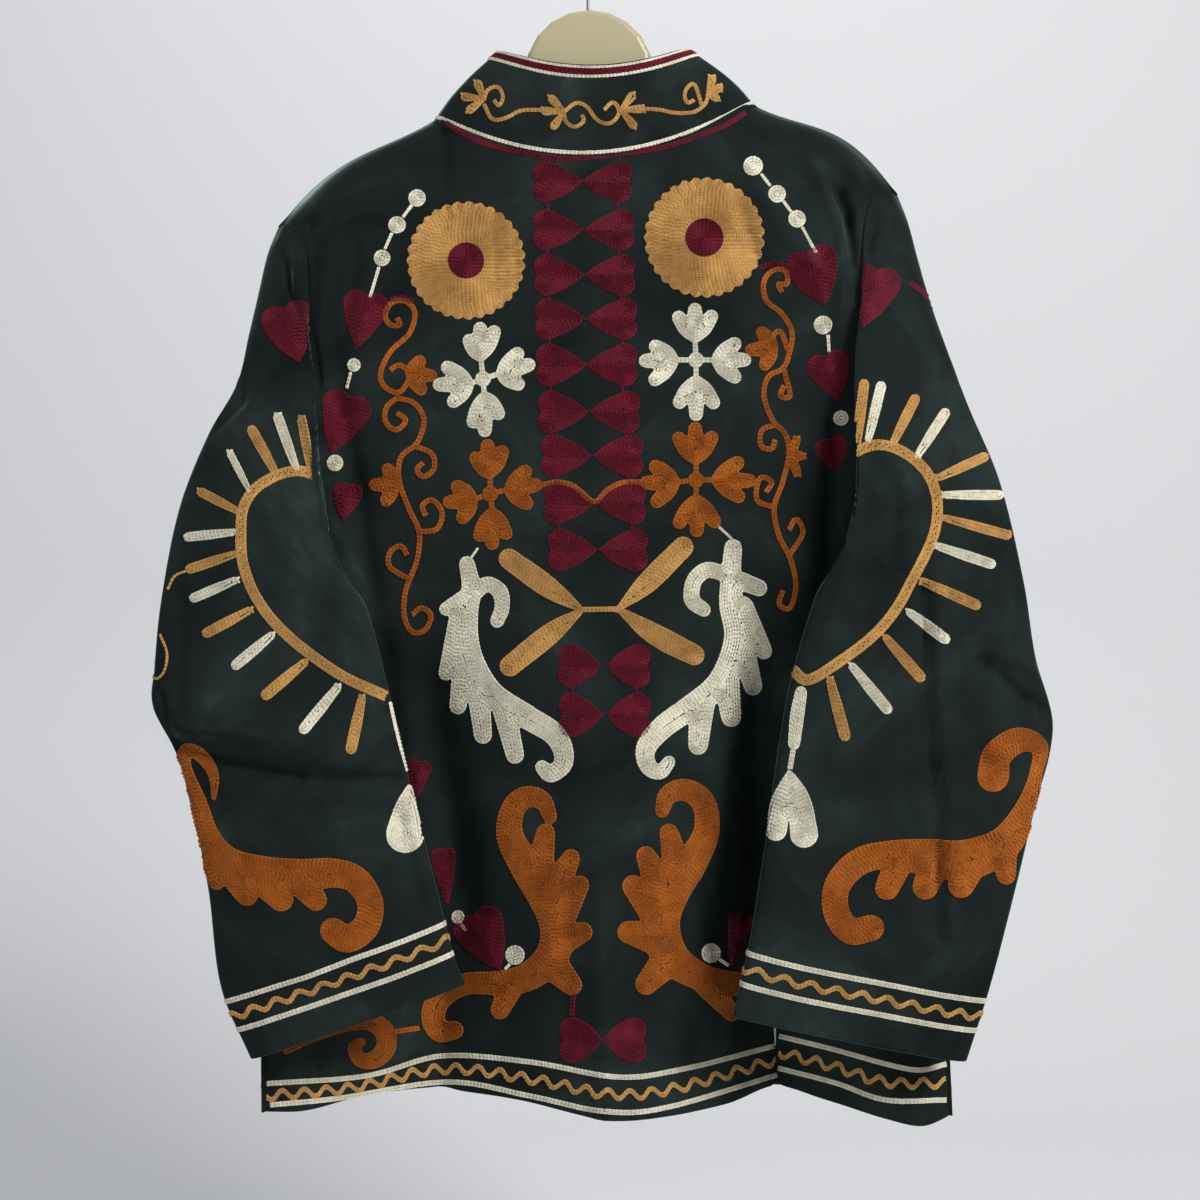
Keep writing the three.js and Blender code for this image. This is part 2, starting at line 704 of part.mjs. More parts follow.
// The hook's wire: up from the board, out to the right, and over the top to its tip
class HookLine extends THREE.Curve {
  getPoint(t, target = new THREE.Vector3()) {
    const { wire, radius, stemFoot, bendZ, startTurn, tipTurn, stemShare, bendShare } = HOOK;
    const { y } = BOARD;
    const middleZ = wire - radius;
    if (t < stemShare) return target.set(0, y, mix(stemFoot, bendZ, t / stemShare));
    if (t < bendShare) {
      const s = (t - stemShare) / (bendShare - stemShare);
      const endX = radius * Math.cos(startTurn);
      const endZ = middleZ + radius * Math.sin(startTurn);
      return target.set(endX * s * s, y, mix(bendZ, endZ, s * (1.4 - 0.4 * s)));
    }
    const turn = mix(startTurn, tipTurn, (t - bendShare) / (1 - bendShare));
    return target.set(radius * Math.cos(turn), y, middleZ + radius * Math.sin(turn));
  }
}

function makeHook() {
  const section = new THREE.Shape();
  section.absarc(0, 0, HOOK.wire, 0, 2 * Math.PI);
  const geometry = new THREE.ExtrudeGeometry(section, {
    extrudePath: new HookLine(),
    steps: 36,
    curveSegments: 5,
  });
  const mesh = new THREE.Mesh(geometry, STEEL);
  mesh.name = 'hanger_hook';
  return mesh;
}

const jacket = new THREE.Group();
jacket.add(makeBack());
jacket.add(makeFront('front_left', LEFT, SLEEVE_LEFT, HEM_FRONT_LEFT));
jacket.add(makeFront('front_right', RIGHT, SLEEVE_RIGHT, HEM_FRONT_RIGHT));
jacket.add(makeSleeve('sleeve_left', LEFT, SLEEVE_LEFT));
jacket.add(makeSleeve('sleeve_right', RIGHT, SLEEVE_RIGHT));
jacket.add(makeCollar());

const hanger = new THREE.Group();
hanger.add(makeBoard());
hanger.add(makeHook());
jacket.add(hanger);

// The hook's own plane goes through the origin
jacket.position.y = -BOARD.y;

export default jacket;
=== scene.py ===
"""Velvet jacket on its hanger: cloth shells on the CAD forms, chain stitch embroidery, materials,
light and camera. Shapes are in millimetres in the CAD frame until a mesh is made, in metres."""

import math

import bpy
import numpy as np
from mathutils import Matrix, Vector
from mathutils.bvhtree import BVHTree


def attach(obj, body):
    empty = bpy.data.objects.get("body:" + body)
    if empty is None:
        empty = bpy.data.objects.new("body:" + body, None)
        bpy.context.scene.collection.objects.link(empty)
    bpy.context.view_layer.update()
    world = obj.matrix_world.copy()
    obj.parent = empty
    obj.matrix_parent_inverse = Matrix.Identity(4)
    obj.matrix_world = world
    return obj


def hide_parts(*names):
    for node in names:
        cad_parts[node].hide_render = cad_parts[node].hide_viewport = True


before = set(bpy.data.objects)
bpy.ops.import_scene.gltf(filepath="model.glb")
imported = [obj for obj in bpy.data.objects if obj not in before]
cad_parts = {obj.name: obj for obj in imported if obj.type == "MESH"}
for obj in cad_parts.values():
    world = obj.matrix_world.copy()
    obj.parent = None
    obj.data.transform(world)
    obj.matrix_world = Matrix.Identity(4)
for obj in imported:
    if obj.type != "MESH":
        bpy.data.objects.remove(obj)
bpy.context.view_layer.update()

MM = 0.001
WALL = 1.6
COLLAR_WALL = 2.6

# The camera looks along +Y. A drawing point (x, y) is where that view shows it, on a square of
# SIDE units with y down; one unit is UNIT mm at a distance of REACH mm. A point BEYOND mm from the
# eye is behind the jacket. The sensor's width is in mm too.
EYE = np.array([9.0, -1127.0, -503.0])
SIDE = 1200
REACH = 1100.0
UNIT = 0.73
BEYOND = 1400
SENSOR = 36

# Seam lines and sections of the CAD model
NECK_LEFT, NECK_RIGHT = np.array([-115.0, 1, -144]), np.array([125.0, 1, -133])
NECK_BACK, NECK_FRONT = (40, 28), (52, 19)
COLLAR_LEFT, COLLAR_RIGHT = np.array([-68.0, 1, -93]), np.array([76.0, 1, -91])
COLLAR_BACK, COLLAR_FRONT = (19, 24), (34, 14)
COLLAR_BELLY = 3
CENTRE_X = 5
SHOULDER_ROUND = 10
ARMHOLE_SHARE = 0.35
TOP_REACH = 0.16
HEM_START = 0.25
# In mm: half the gap at the centre front, the dip beside a seam, and the back's width, about
HALF_GAP = 0.6
SEAM_WIDTH = 3
BACK_WIDTH = 480
# Waves in a ripple: how many, and the shortest and the longest in mm
RIPPLES, SHORT_RIPPLE, LONG_RIPPLE = 7, 38, 110
# How far a crease fades out past its ends, in half widths
CREASE_END = 1.5

LEFT = {
    "side": -1,
    "neck": NECK_LEFT,
    "shoulder": np.array([-231.0, -1, -224]),
    "arch": 13,
    "underarm": np.array([-246.0, -9, -458]),
    "hem": np.array([-237.0, -31, -875]),
}
RIGHT = {
    "side": 1,
    "neck": NECK_RIGHT,
    "shoulder": np.array([231.0, -1, -200]),
    "arch": 16,
    "underarm": np.array([250.0, -9, -440]),
    "hem": np.array([267.0, -23, -880]),
}

# Hem lines: share of the width, y, z
HEM_BACK = [
    (0.00, -31, -875), (0.06, -28, -875), (0.14, -9, -871), (0.25, 1, -870),
    (0.37, -21, -870), (0.50, -46, -876), (0.58, -42, -875), (0.67, -21, -873),
    (0.75, 3, -869), (0.82, -15, -872), (0.90, -35, -879), (0.95, -41, -882),
    (1.00, -23, -880),
]
HEM_FRONT_LEFT = [
    (0.00, -31, -875), (0.12, -7, -874), (0.28, 19, -872), (0.55, 27, -870),
    (0.80, 15, -872), (1.00, 19, -873),
]
HEM_FRONT_RIGHT = [
    (0.00, -23, -880), (0.12, -3, -878), (0.30, 21, -874), (0.55, 27, -872),
    (0.80, 17, -872), (1.00, 19, -873),
]

# Middles of the panels: share of the height, y
BACK_MIDDLE = [(0.00, -27), (0.12, -34), (0.30, -37), (0.50, -37), (0.75, -41), (1.00, -46)]
FRONT_MIDDLE = [(0.00, 20), (0.20, 22), (0.50, 23), (0.80, 21), (1.00, 19)]

# Troughs in the back's form: from x, z to x, z, width, depth
BACK_FOLDS = [
    (186, -190, 196, -290, 13, 9),
    (-190, -225, -186, -330, 14, 5),
    (-120, -870, -96, -560, 26, 7),
    (142, -870, 150, -600, 18, 8),
    (20, -240, -40, -420, 30, 3),
]

# Sleeve sections: t, outer x y z, inner x y z, how far back and front stand out, their leans
SLEEVE_LEFT = [
    (0.00, -231, -1, -224, -246, -9, -458, 36, 22, 36, 22),
    (0.04, -238, -6, -245, -254, -19, -468, 37, 27, 44, 2),
    (0.09, -243, -12, -273, -246, -43, -478, 32, 26, 52, -6),
    (0.15, -249, -19, -308, -206, -57, -485, 26, 14, 36, -6),
    (0.21, -256, -26, -345, -178, -62, -490, 22, 6, 20, -3),
    (0.28, -275, -33, -383, -160, -64, -500, 20, 6, 7, 0),
    (0.36, -294, -39, -436, -150, -65, -526, 19, 8, 0, 0),
    (0.46, -306, -44, -503, -140, -66, -566, 18, 10, 0, 0),
    (0.54, -310, -47, -552, -131, -67, -600, 18, 12, 0, 0),
    (0.60, -310, -49, -580, -126, -68, -626, 22, 13, 0, 0),
    (0.64, -294, -50, -612, -121, -69, -645, 12, 10, 0, 0),
    (0.69, -283, -51, -648, -115, -70, -668, 18, 12, 0, 0),
    (0.79, -270, -53, -708, -104, -72, -710, 18, 13, 0, 0),
    (0.90, -260, -57, -777, -93, -75, -752, 15, 12, 0, 0),
    (1.00, -238, -61, -827, -85, -77, -770, 11, 9, 0, 0),
]
SLEEVE_RIGHT = [
    (0.00, 231, -1, -200, 250, -9, -440, 36, 22, 40, 22),
    (0.04, 238, -6, -222, 258, -19, -450, 38, 27, 50, 2),
    (0.09, 244, -12, -250, 250, -43, -460, 34, 26, 58, -6),
    (0.15, 252, -19, -285, 212, -59, -468, 28, 14, 40, -6),
    (0.21, 263, -26, -322, 186, -65, -476, 24, 6, 22, -3),
    (0.28, 276, -33, -362, 166, -67, -490, 21, 6, 8, 0),
    (0.36, 297, -39, -417, 155, -69, -516, 20, 8, 0, 0),
    (0.46, 313, -44, -489, 142, -71, -562, 19, 10, 0, 0),
    (0.54, 321, -47, -545, 136, -73, -592, 19, 12, 0, 0),
    (0.60, 332, -49, -586, 130, -75, -630, 22, 13, 0, 0),
    (0.64, 330, -51, -612, 127, -77, -655, 15, 11, 0, 0),
    (0.69, 320, -53, -645, 122, -79, -684, 20, 13, 0, 0),
    (0.79, 304, -57, -706, 115, -81, -728, 20, 14, 0, 0),
    (0.90, 285, -61, -775, 106, -83, -770, 16, 12, 0, 0),
    (1.00, 267, -66, -827, 101, -85, -790, 12, 9, 0, 0),
]

# Creases in drawing units: from x, y to x, y, half width, depth in mm away from the camera
BACK_CREASES = [
    (857, 166, 864, 186, 5, -3.0), (864, 186, 855, 225, 5, -3.0),
    (838, 196, 850, 222, 7, 9.0), (850, 222, 856, 262, 7, 11.0), (856, 262, 864, 300, 7, 7.0),
    (815, 168, 837, 212, 8, -4.0), (837, 212, 846, 262, 7, -4.0), (846, 262, 838, 330, 8, -3.0),
    (755, 180, 790, 240, 12, -3.5), (790, 240, 812, 262, 9, -3.0), (742, 214, 762, 262, 9, 3.5),
    (309, 226, 310, 268, 6, 8.0), (310, 268, 307, 305, 6, 8.0), (307, 305, 318, 380, 5, 5.0),
    (340, 212, 327, 260, 8, -4.0), (327, 260, 322, 335, 8, -3.5), (355, 250, 346, 330, 9, 3.5),
    (345, 205, 400, 185, 14, -3.5), (372, 232, 420, 212, 12, 2.5), (330, 330, 352, 470, 12, 5.0),
    (352, 470, 372, 600, 12, 5.0), (518, 155, 516, 330, 2.5, 0.8), (494, 190, 497, 330, 3, 0.7),
    (428, 700, 462, 900, 20, 8.0), (760, 600, 752, 1000, 22, 14.0), (724, 640, 716, 900, 14, -4.0),
    (602, 880, 603, 1105, 12, -6.0), (642, 820, 632, 1010, 15, 5.0), (570, 900, 566, 1030, 13, 4.0),
    (777, 1010, 778, 1100, 4, 8.0), (442, 1000, 442, 1095, 12, 5.0), (380, 640, 404, 800, 14, 5.0),
    (520, 940, 500, 1060, 18, 4.0), (690, 860, 706, 1040, 15, -4.0), (838, 430, 828, 590, 12, 6.0),
    (560, 640, 545, 850, 20, 3.5), (600, 250, 590, 420, 24, -2.5), (650, 560, 668, 700, 18, 2.5),
]
SLEEVE_LEFT_CREASES = [
    (290, 228, 300, 262, 5, -5.0), (300, 262, 293, 304, 5, -4.0),
    (277, 240, 287, 270, 4, 5.0), (287, 270, 294, 304, 4, 5.0), (262, 262, 252, 330, 9, -3.0),
    (244, 372, 240, 402, 6, 4.0), (240, 402, 214, 428, 6, 5.0), (262, 392, 226, 446, 8, -3.5),
    (300, 430, 318, 500, 8, 4.0), (168, 727, 254, 735, 5, -6.0), (168, 741, 228, 763, 5, 6.5),
    (228, 763, 300, 776, 5, 6.5), (300, 776, 408, 780, 6, 5.5), (215, 780, 300, 795, 10, -4.0),
    (300, 795, 390, 797, 10, -3.5), (161, 697, 168, 728, 5, 5.0), (210, 800, 242, 860, 12, 4.0),
    (250, 880, 300, 960, 18, -3.0), (330, 560, 300, 700, 20, 4.0), (240, 560, 210, 690, 15, -3.5),
    (372, 640, 392, 720, 9, 4.0), (260, 1000, 340, 985, 10, 2.5), (180, 600, 176, 700, 9, 4.0),
    (360, 560, 372, 640, 9, -3.0), (398, 820, 420, 900, 9, 4.0),
]
SLEEVE_RIGHT_CREASES = [
    (893, 198, 886, 222, 6, -5.0), (886, 222, 878, 252, 6, -5.0),
    (876, 205, 869, 248, 4, 6.0), (900, 205, 902, 240, 6, 3.0), (914, 262, 930, 330, 9, -3.0),
    (886, 458, 909, 490, 9, -3.5), (909, 490, 906, 560, 9, -3.0), (946, 380, 974, 430, 10, 3.5),
    (894, 480, 892, 570, 9, 3.0), (868, 620, 886, 520, 13, 3.0), (872, 430, 862, 520, 10, 3.0),
    (925, 590, 928, 712, 5, 6.0), (928, 712, 938, 808, 5, 6.0), (938, 808, 939, 935, 5, 5.0),
    (939, 600, 942, 712, 9, -5.0), (942, 712, 952, 808, 9, -5.0), (952, 808, 952, 930, 9, -4.5),
    (1000, 654, 1034, 670, 5, -6.0), (1034, 670, 1048, 690, 5, -6.0),
    (985, 664, 1026, 700, 6, 7.0), (1026, 700, 1048, 712, 6, 7.0),
    (962, 800, 992, 826, 10, -4.0), (777, 855, 812, 905, 4, -2.5), (830, 700, 800, 820, 14, 4.0),
    (960, 700, 985, 760, 12, 4.0), (850, 560, 826, 640, 10, -4.0), (1010, 560, 1018, 640, 8, 4.0),
]


def smooth(a, b, value):
    t = np.clip((value - a) / (b - a), 0, 1)
    return t * t * (3 - 2 * t)


def mix(a, b, t):
    return a + (b - a) * t


def unit(vectors):
    """The same vectors with a length of one."""
    return vectors / np.maximum(np.linalg.norm(vectors, axis=-1, keepdims=True), 1e-9)


def run_length(steps):
    """How far along a path each of its points is, from the lengths of its steps."""
    return np.concatenate([[0], np.cumsum(steps)])


def steps_of(path):
    return np.hypot(*np.diff(path, axis=0).T)


def along(table, at):
    """Every column of a table at values of its first one, on a smooth curve through the rows."""
    rows = np.asarray(table, float)
    at = np.atleast_1d(np.asarray(at, float))
    i = np.clip(np.searchsorted(rows[:, 0], at) - 1, 0, len(rows) - 2)
    a, b, c = rows[np.maximum(i - 1, 0)], rows[i], rows[i + 1]
    d = rows[np.minimum(i + 2, len(rows) - 1)]
    span = c[:, :1] - b[:, :1]
    s = (at[:, None] - b[:, :1]) / span
    leave = (c - a) / (c[:, :1] - a[:, :1]) * span
    arrive = (d - b) / (d[:, :1] - b[:, :1]) * span
    out = b + (c - b) * s * s * (3 - 2 * s) + leave * s * (1 - s) ** 2 - arrive * s * s * (1 - s)
    out[:, 0] = at
    return out


def drawn(points):
    """Where points in the CAD frame are in the drawing."""
    away = points - EYE
    scale = REACH / UNIT / away[..., 1:2]
    return np.concatenate(
        [SIDE / 2 + away[..., 0:1] * scale, SIDE / 2 - away[..., 2:3] * scale], axis=-1
    )


# ---- forms of the sewn pieces ----


def neck_line(left, right, dip, depth, s, is_back):
    """Half of a ring round the neck, which sinks by dip and stands out by depth."""
    sag = 4 * s * (1 - s)
    point = mix(left, right, s[..., None])
    point[..., 2] -= sag * dip
    point[..., 1] += np.sqrt(np.maximum(sag, 0)) * (-depth if is_back else depth)
    return point


def neck_inward(s, is_back):
    sag = np.sqrt(np.maximum(4 * s * (1 - s), 0))
    way = np.stack(
        [np.where(s < 0.5, 1, -1) * (1 - sag), sag if is_back else -sag, -0.7 * (1 - sag)], -1
    )
    return unit(way)


def shoulder_line(half, s):
    point = mix(half["neck"], half["shoulder"], s[..., None])
    point[..., 2] += half["arch"] * np.sin(np.pi * np.maximum(s, 0) ** 1.5)
    return point


def sleeve_point(table, side, t, turn):
    """Points on a sleeve: t from armhole to cuff, turn from the outer fold round by the back."""
    row = along(table, np.ravel(t)).reshape(np.shape(t) + (11,))
    share = (1 - np.cos(turn)) / 2
    swell = np.abs(np.sin(turn))
    back = np.sin(turn) >= 0
    reach = np.where(back, -row[..., 7], row[..., 8])
    lean = np.where(back, row[..., 9], row[..., 10])
    leaning = mix(0.6, 1.5, smooth(0, 0.15, t))
    return np.stack(
        [
            mix(row[..., 1], row[..., 4], share) - side * lean * swell**leaning,
            mix(row[..., 2], row[..., 5], share) + reach * swell**0.8,
            mix(row[..., 3], row[..., 6], share),
        ],
        -1,
    )


def side_edge(half, table, v, is_back):
    """A panel's outer edge: half of the armhole, then the side seam."""
    turn = np.arccos(np.clip(1 - 2 * v / ARMHOLE_SHARE, -1, 1))
    arm = sleeve_point(table, half["side"], np.zeros_like(v), turn if is_back else -turn)
    down = np.clip((v - ARMHOLE_SHARE) / (1 - ARMHOLE_SHARE), 0, 1)[..., None]
    seam = mix(half["underarm"], half["hem"], down)
    return np.where((v <= ARMHOLE_SHARE)[..., None], arm, seam)


def folds(table, x, z):
    """Depth of the form's troughs, each shallower toward its end."""
    total = np.zeros_like(x)
    for x0, z0, x1, z1, width, depth in table:
        run = np.array([x1 - x0, z1 - z0], float)
        near = np.clip(((x - x0) * run[0] + (z - z0) * run[1]) / (run @ run), 0, 1)
        away = np.hypot(x - x0 - run[0] * near, z - z0 - run[1] * near)
        total += depth * np.exp(-((away / width) ** 2)) * (1 - near * near)
    return total


def creases(table, points):
    """Depth of the listed creases, which fade out past both ends and run on into each other."""
    at = drawn(points)
    trough, ridge = np.zeros((2, *at.shape[:-1]))
    for x0, y0, x1, y1, width, depth in table:
        run = np.array([x1 - x0, y1 - y0], float)
        length = np.hypot(*run)
        way = run / length
        on = (at[..., 0] - x0) * way[0] + (at[..., 1] - y0) * way[1]
        off = (at[..., 1] - y0) * way[0] - (at[..., 0] - x0) * way[1]
        past = np.maximum(np.maximum(-on, on - length), 0)
        part = depth * np.exp(-((off / width) ** 2) - (past / (CREASE_END * width)) ** 2)
        (trough if depth > 0 else ridge)[...] += part**4
    return trough**0.25 - ridge**0.25


def ripple(points, size, seed):
    """Slow, uneven waves, so that no panel is quite smooth."""
    rng = np.random.default_rng(seed)
    total = np.zeros(points.shape[:-1])
    for _ in range(RIPPLES):
        angle, phase = rng.uniform(0, 2 * np.pi, 2)
        wave = rng.uniform(SHORT_RIPPLE, LONG_RIPPLE)
        flat = points[..., 0] * math.cos(angle) + points[..., 2] * math.sin(angle)
        total += np.sin(flat * 2 * np.pi / wave + phase) * wave / LONG_RIPPLE
    return total * size / RIPPLES


def seam_dip(away, depth):
    """How deep the cloth dips beside a seam, at distances in mm from it."""
    return depth * np.exp(-((away / SEAM_WIDTH) ** 2))


def panel_top(neck_dip, x):
    """Point on a panel's top edge at each x, and how far in from the neck's ends it is."""
    left = (NECK_LEFT[0] - x) / (NECK_LEFT[0] - LEFT["shoulder"][0])
    right = (x - NECK_RIGHT[0]) / (RIGHT["shoulder"][0] - NECK_RIGHT[0])
    s = np.clip((x - NECK_LEFT[0]) / (NECK_RIGHT[0] - NECK_LEFT[0]), 0, 1)
    neck = neck_line(NECK_LEFT, NECK_RIGHT, *neck_dip, s, neck_dip is NECK_BACK)
    top = np.where((left > 0)[:, None], shoulder_line(LEFT, np.clip(left, 0, 1)), neck)
    top = np.where((right > 0)[:, None], shoulder_line(RIGHT, np.clip(right, 0, 1)), top)
    past = np.clip(4 * np.minimum(s, 1 - s), 0, 1)
    return top, past


def coons(u, v, top, bottom, left, right, axis):
    corner = (top[0, axis], top[-1, axis], bottom[0, axis], bottom[-1, axis])
    return (
        (1 - v) * top[None, :, axis] + v * bottom[None, :, axis]
        + (1 - u) * left[:, None, axis] + u * right[:, None, axis]
        - (1 - v) * mix(corner[0], corner[1], u) - v * mix(corner[2], corner[3], u)
    )


def panel_grid(top, bottom, left, right, middle, u, v, full, round_off):
    """A panel's grid of points between four edges, as the CAD model has it."""
    uu, vv = np.meshgrid(u, v)
    x, z = (coons(uu, vv, top, bottom, left, right, axis) for axis in (0, 2))
    lift = full(u)[None, :]
    mid = along(middle, v)[:, 1][:, None]
    body = mix(mix(left[:, None, 1], right[:, None, 1], uu), mid, lift)
    ends = []
    for edge, at in ((top, 0.0), (bottom, 1.0)):
        level = mix(mix(edge[0, 1], edge[-1, 1], u), along(middle, at)[0, 1], full(u))
        ends.append((edge[:, 1] - level)[None, :])
    y = body + ends[0] * (1 - smooth(0, TOP_REACH, vv)) + ends[1] * smooth(HEM_START, 1, vv)
    drop = np.clip(top[None, :, 2] - z, 0, SHOULDER_ROUND)
    y += round_off[None, :] * np.sqrt(drop * (2 * SHOULDER_ROUND - drop)) * (
        1 - smooth(0, TOP_REACH, vv)
    )
    return np.stack([x, y, z], -1), uu, vv


def spread(start, end, count, crowd=0.0):
    """Shares from start to end, closer together at both ends when crowd is above 0."""
    t = np.linspace(0, 1, count)
    return mix(start, end, t - crowd * np.sin(2 * np.pi * t) / (2 * np.pi))


def softened(grid, passes):
    """The grid with its rows evened out one against the next, but not at its edges."""
    out = grid.copy()
    keep = smooth(0, 0.06, np.linspace(0, 1, grid.shape[1]))
    keep = (keep * keep[::-1])[None, :, None]
    for _ in range(passes):
        out[1:-1] += keep * ((out[:-2] + out[2:]) / 2 - out[1:-1]) / 2
    return out


def back_grid():
    u = spread(0, 1, 152, 0.55)
    v = np.concatenate([spread(0, ARMHOLE_SHARE, 72, 0.6), spread(ARMHOLE_SHARE, 1, 118)[1:]])
    x = mix(LEFT["shoulder"][0], RIGHT["shoulder"][0], u)
    top, past = panel_top(NECK_BACK, x)
    bottom = np.stack([mix(LEFT["hem"][0], RIGHT["hem"][0], u), *along(HEM_BACK, u).T[1:]], -1)
    left, right = side_edge(LEFT, SLEEVE_LEFT, v, True), side_edge(RIGHT, SLEEVE_RIGHT, v, True)
    round_off = -(1 - past) * smooth(0, 0.04, np.minimum(u, 1 - u))
    grid, uu, vv = panel_grid(
        top, bottom, left, right, BACK_MIDDLE, u, v, lambda w: 1 - np.abs(2 * w - 1) ** 4, round_off
    )
    grid[32:] = softened(grid, 60)[32:]
    inside = smooth(0, 0.05, uu) * smooth(0, 0.05, 1 - uu) * smooth(0, 0.03, vv)
    flat_x = mix(left[:, None, 0], right[:, None, 0], uu)
    flat_z = mix(left[:, None, 2], right[:, None, 2], uu)
    grid[..., 1] += inside * folds(BACK_FOLDS, flat_x, flat_z)
    edge = smooth(0, 0.03, uu) * smooth(0, 0.03, 1 - uu) * smooth(0, 0.02, vv)
    grid[..., 1] += edge * (creases(BACK_CREASES, grid) + ripple(grid, 2.2, 3))
    grid[..., 1] += seam_dip(np.minimum(uu, 1 - uu) * BACK_WIDTH, 1.2)
    return grid


def front_grid(half, table, hem, seed):
    u = spread(0, 1, 80, 0.4)
    v = np.concatenate([spread(0, ARMHOLE_SHARE, 50, 0.6), spread(ARMHOLE_SHARE, 1, 74)[1:]])
    gap = HALF_GAP * half["side"]
    x = mix(half["shoulder"][0], CENTRE_X, u)
    top, past = panel_top(NECK_FRONT, x)
    bottom = np.stack([mix(half["hem"][0], CENTRE_X, u), *along(hem, u).T[1:]], -1)
    left = side_edge(half, table, v, False)
    down = mix(top[-1, 2], bottom[-1, 2], v)
    right = np.stack([np.full_like(v, CENTRE_X), along(FRONT_MIDDLE, v)[:, 1], down], -1)
    round_off = (1 - past) * smooth(0, 0.04, u)
    grid, uu, vv = panel_grid(
        top, bottom, left, right, FRONT_MIDDLE, u, v, lambda w: 1 - (1 - w) ** 4, round_off
    )
    grid[24:] = softened(grid, 40)[24:]
    grid[..., 0] += gap * smooth(0.9, 1, uu)
    edge = smooth(0, 0.05, uu) * smooth(0, 0.02, vv) * smooth(0, 0.02, 1 - uu)
    grid[..., 1] -= edge * (ripple(grid, 3.0, seed) + 0.6 * creases(BACK_CREASES, grid))
    grid[..., 1] -= seam_dip(uu * BACK_WIDTH / 2, 1.0)
    return grid


SLEEVE_T = np.linspace(0, 1, 204) ** 1.25


def sleeve_grid(half, table, wrinkles, seed):
    t = SLEEVE_T
    turn = np.linspace(0, 2 * np.pi, 129)[:-1]
    tt, ww = np.meshgrid(t, turn, indexing="ij")
    grid = sleeve_point(table, half["side"], tt, ww)
    side = np.sin(ww)
    seen = smooth(0.02, 0.45, side)
    hidden = smooth(0.02, 0.45, -side)
    moved = grid + np.array([0, 0, -14.0])
    start = smooth(0.005, 0.05, tt)
    grid[..., 1] += start * seen * (creases(wrinkles, grid) + ripple(grid, 2.0, seed))
    grid[..., 1] -= start * hidden * (0.8 * creases(wrinkles, moved) + ripple(grid, 2.6, seed + 1))
    return grid


def collar_grid():
    half = np.linspace(0.5, 0, 40)
    s = np.concatenate([half, np.linspace(0, 1, 100)[1:-1], 1 - half[::-1]])
    back = np.zeros(len(s), bool)
    back[len(half):-len(half)] = True
    rows, ways = [], []
    for rise in np.linspace(0, 1, 24):
        pair = []
        for is_back, foot, rim in (
            (True, NECK_BACK, COLLAR_BACK), (False, NECK_FRONT, COLLAR_FRONT),
        ):
            low = neck_line(NECK_LEFT, NECK_RIGHT, *foot, s, is_back)
            high = neck_line(COLLAR_LEFT, COLLAR_RIGHT, *rim, s, is_back)
            belly = COLLAR_BELLY * math.sin(math.pi * rise)
            pair.append(mix(low, high, rise) - neck_inward(s, is_back) * belly)
        rows.append(np.where(back[:, None], *pair))
        ways.append(np.where(back[:, None], neck_inward(s, True), neck_inward(s, False)))
    grid, inward = np.array(rows), np.array(ways)
    grid[:, 0, 0] -= HALF_GAP
    grid[:, -1, 0] += HALF_GAP
    dent = ripple(grid * 1.6, 1.4, 11) * smooth(0, 0.2, np.linspace(0, 1, 24))[:, None]
    return grid + inward * dent[..., None], inward


# ---- shells ----


def normals_of(grid, tube):
    """Unit surface normals of a grid of points, which may close on itself across."""
    down = np.gradient(grid, axis=0)
    if tube:
        across = (np.roll(grid, -1, 1) - np.roll(grid, 1, 1)) / 2
    else:
        across = np.gradient(grid, axis=1)
    return unit(np.cross(across, down))


def quads(height, width, tube):
    """Faces of a grid of points, which may close on itself across."""
    i, j = np.meshgrid(np.arange(height - 1), np.arange(width - 1 + tube), indexing="ij")
    k = (j + 1) % width
    corners = [i * width + j, (i + 1) * width + j, (i + 1) * width + k, i * width + k]
    return np.stack(corners, -1).reshape(-1, 4)


def new_object(name, points, faces, material):
    mesh = bpy.data.meshes.new(name)
    points = np.asarray(points, np.float32) * MM
    faces = np.asarray(faces, np.int32)
    count, corners = faces.shape
    mesh.vertices.add(len(points))
    mesh.vertices.foreach_set("co", points.ravel())
    mesh.loops.add(count * corners)
    mesh.loops.foreach_set("vertex_index", faces.ravel())
    mesh.polygons.add(count)
    mesh.polygons.foreach_set("loop_start", np.arange(0, count * corners, corners, dtype=np.int32))
    mesh.polygons.foreach_set("use_smooth", np.ones(count, bool))
    mesh.update(calc_edges=True)
    mesh.validate()
    mesh.materials.append(material)
    thing = bpy.data.objects.new(name, mesh)
    bpy.context.scene.collection.objects.link(thing)
    return thing


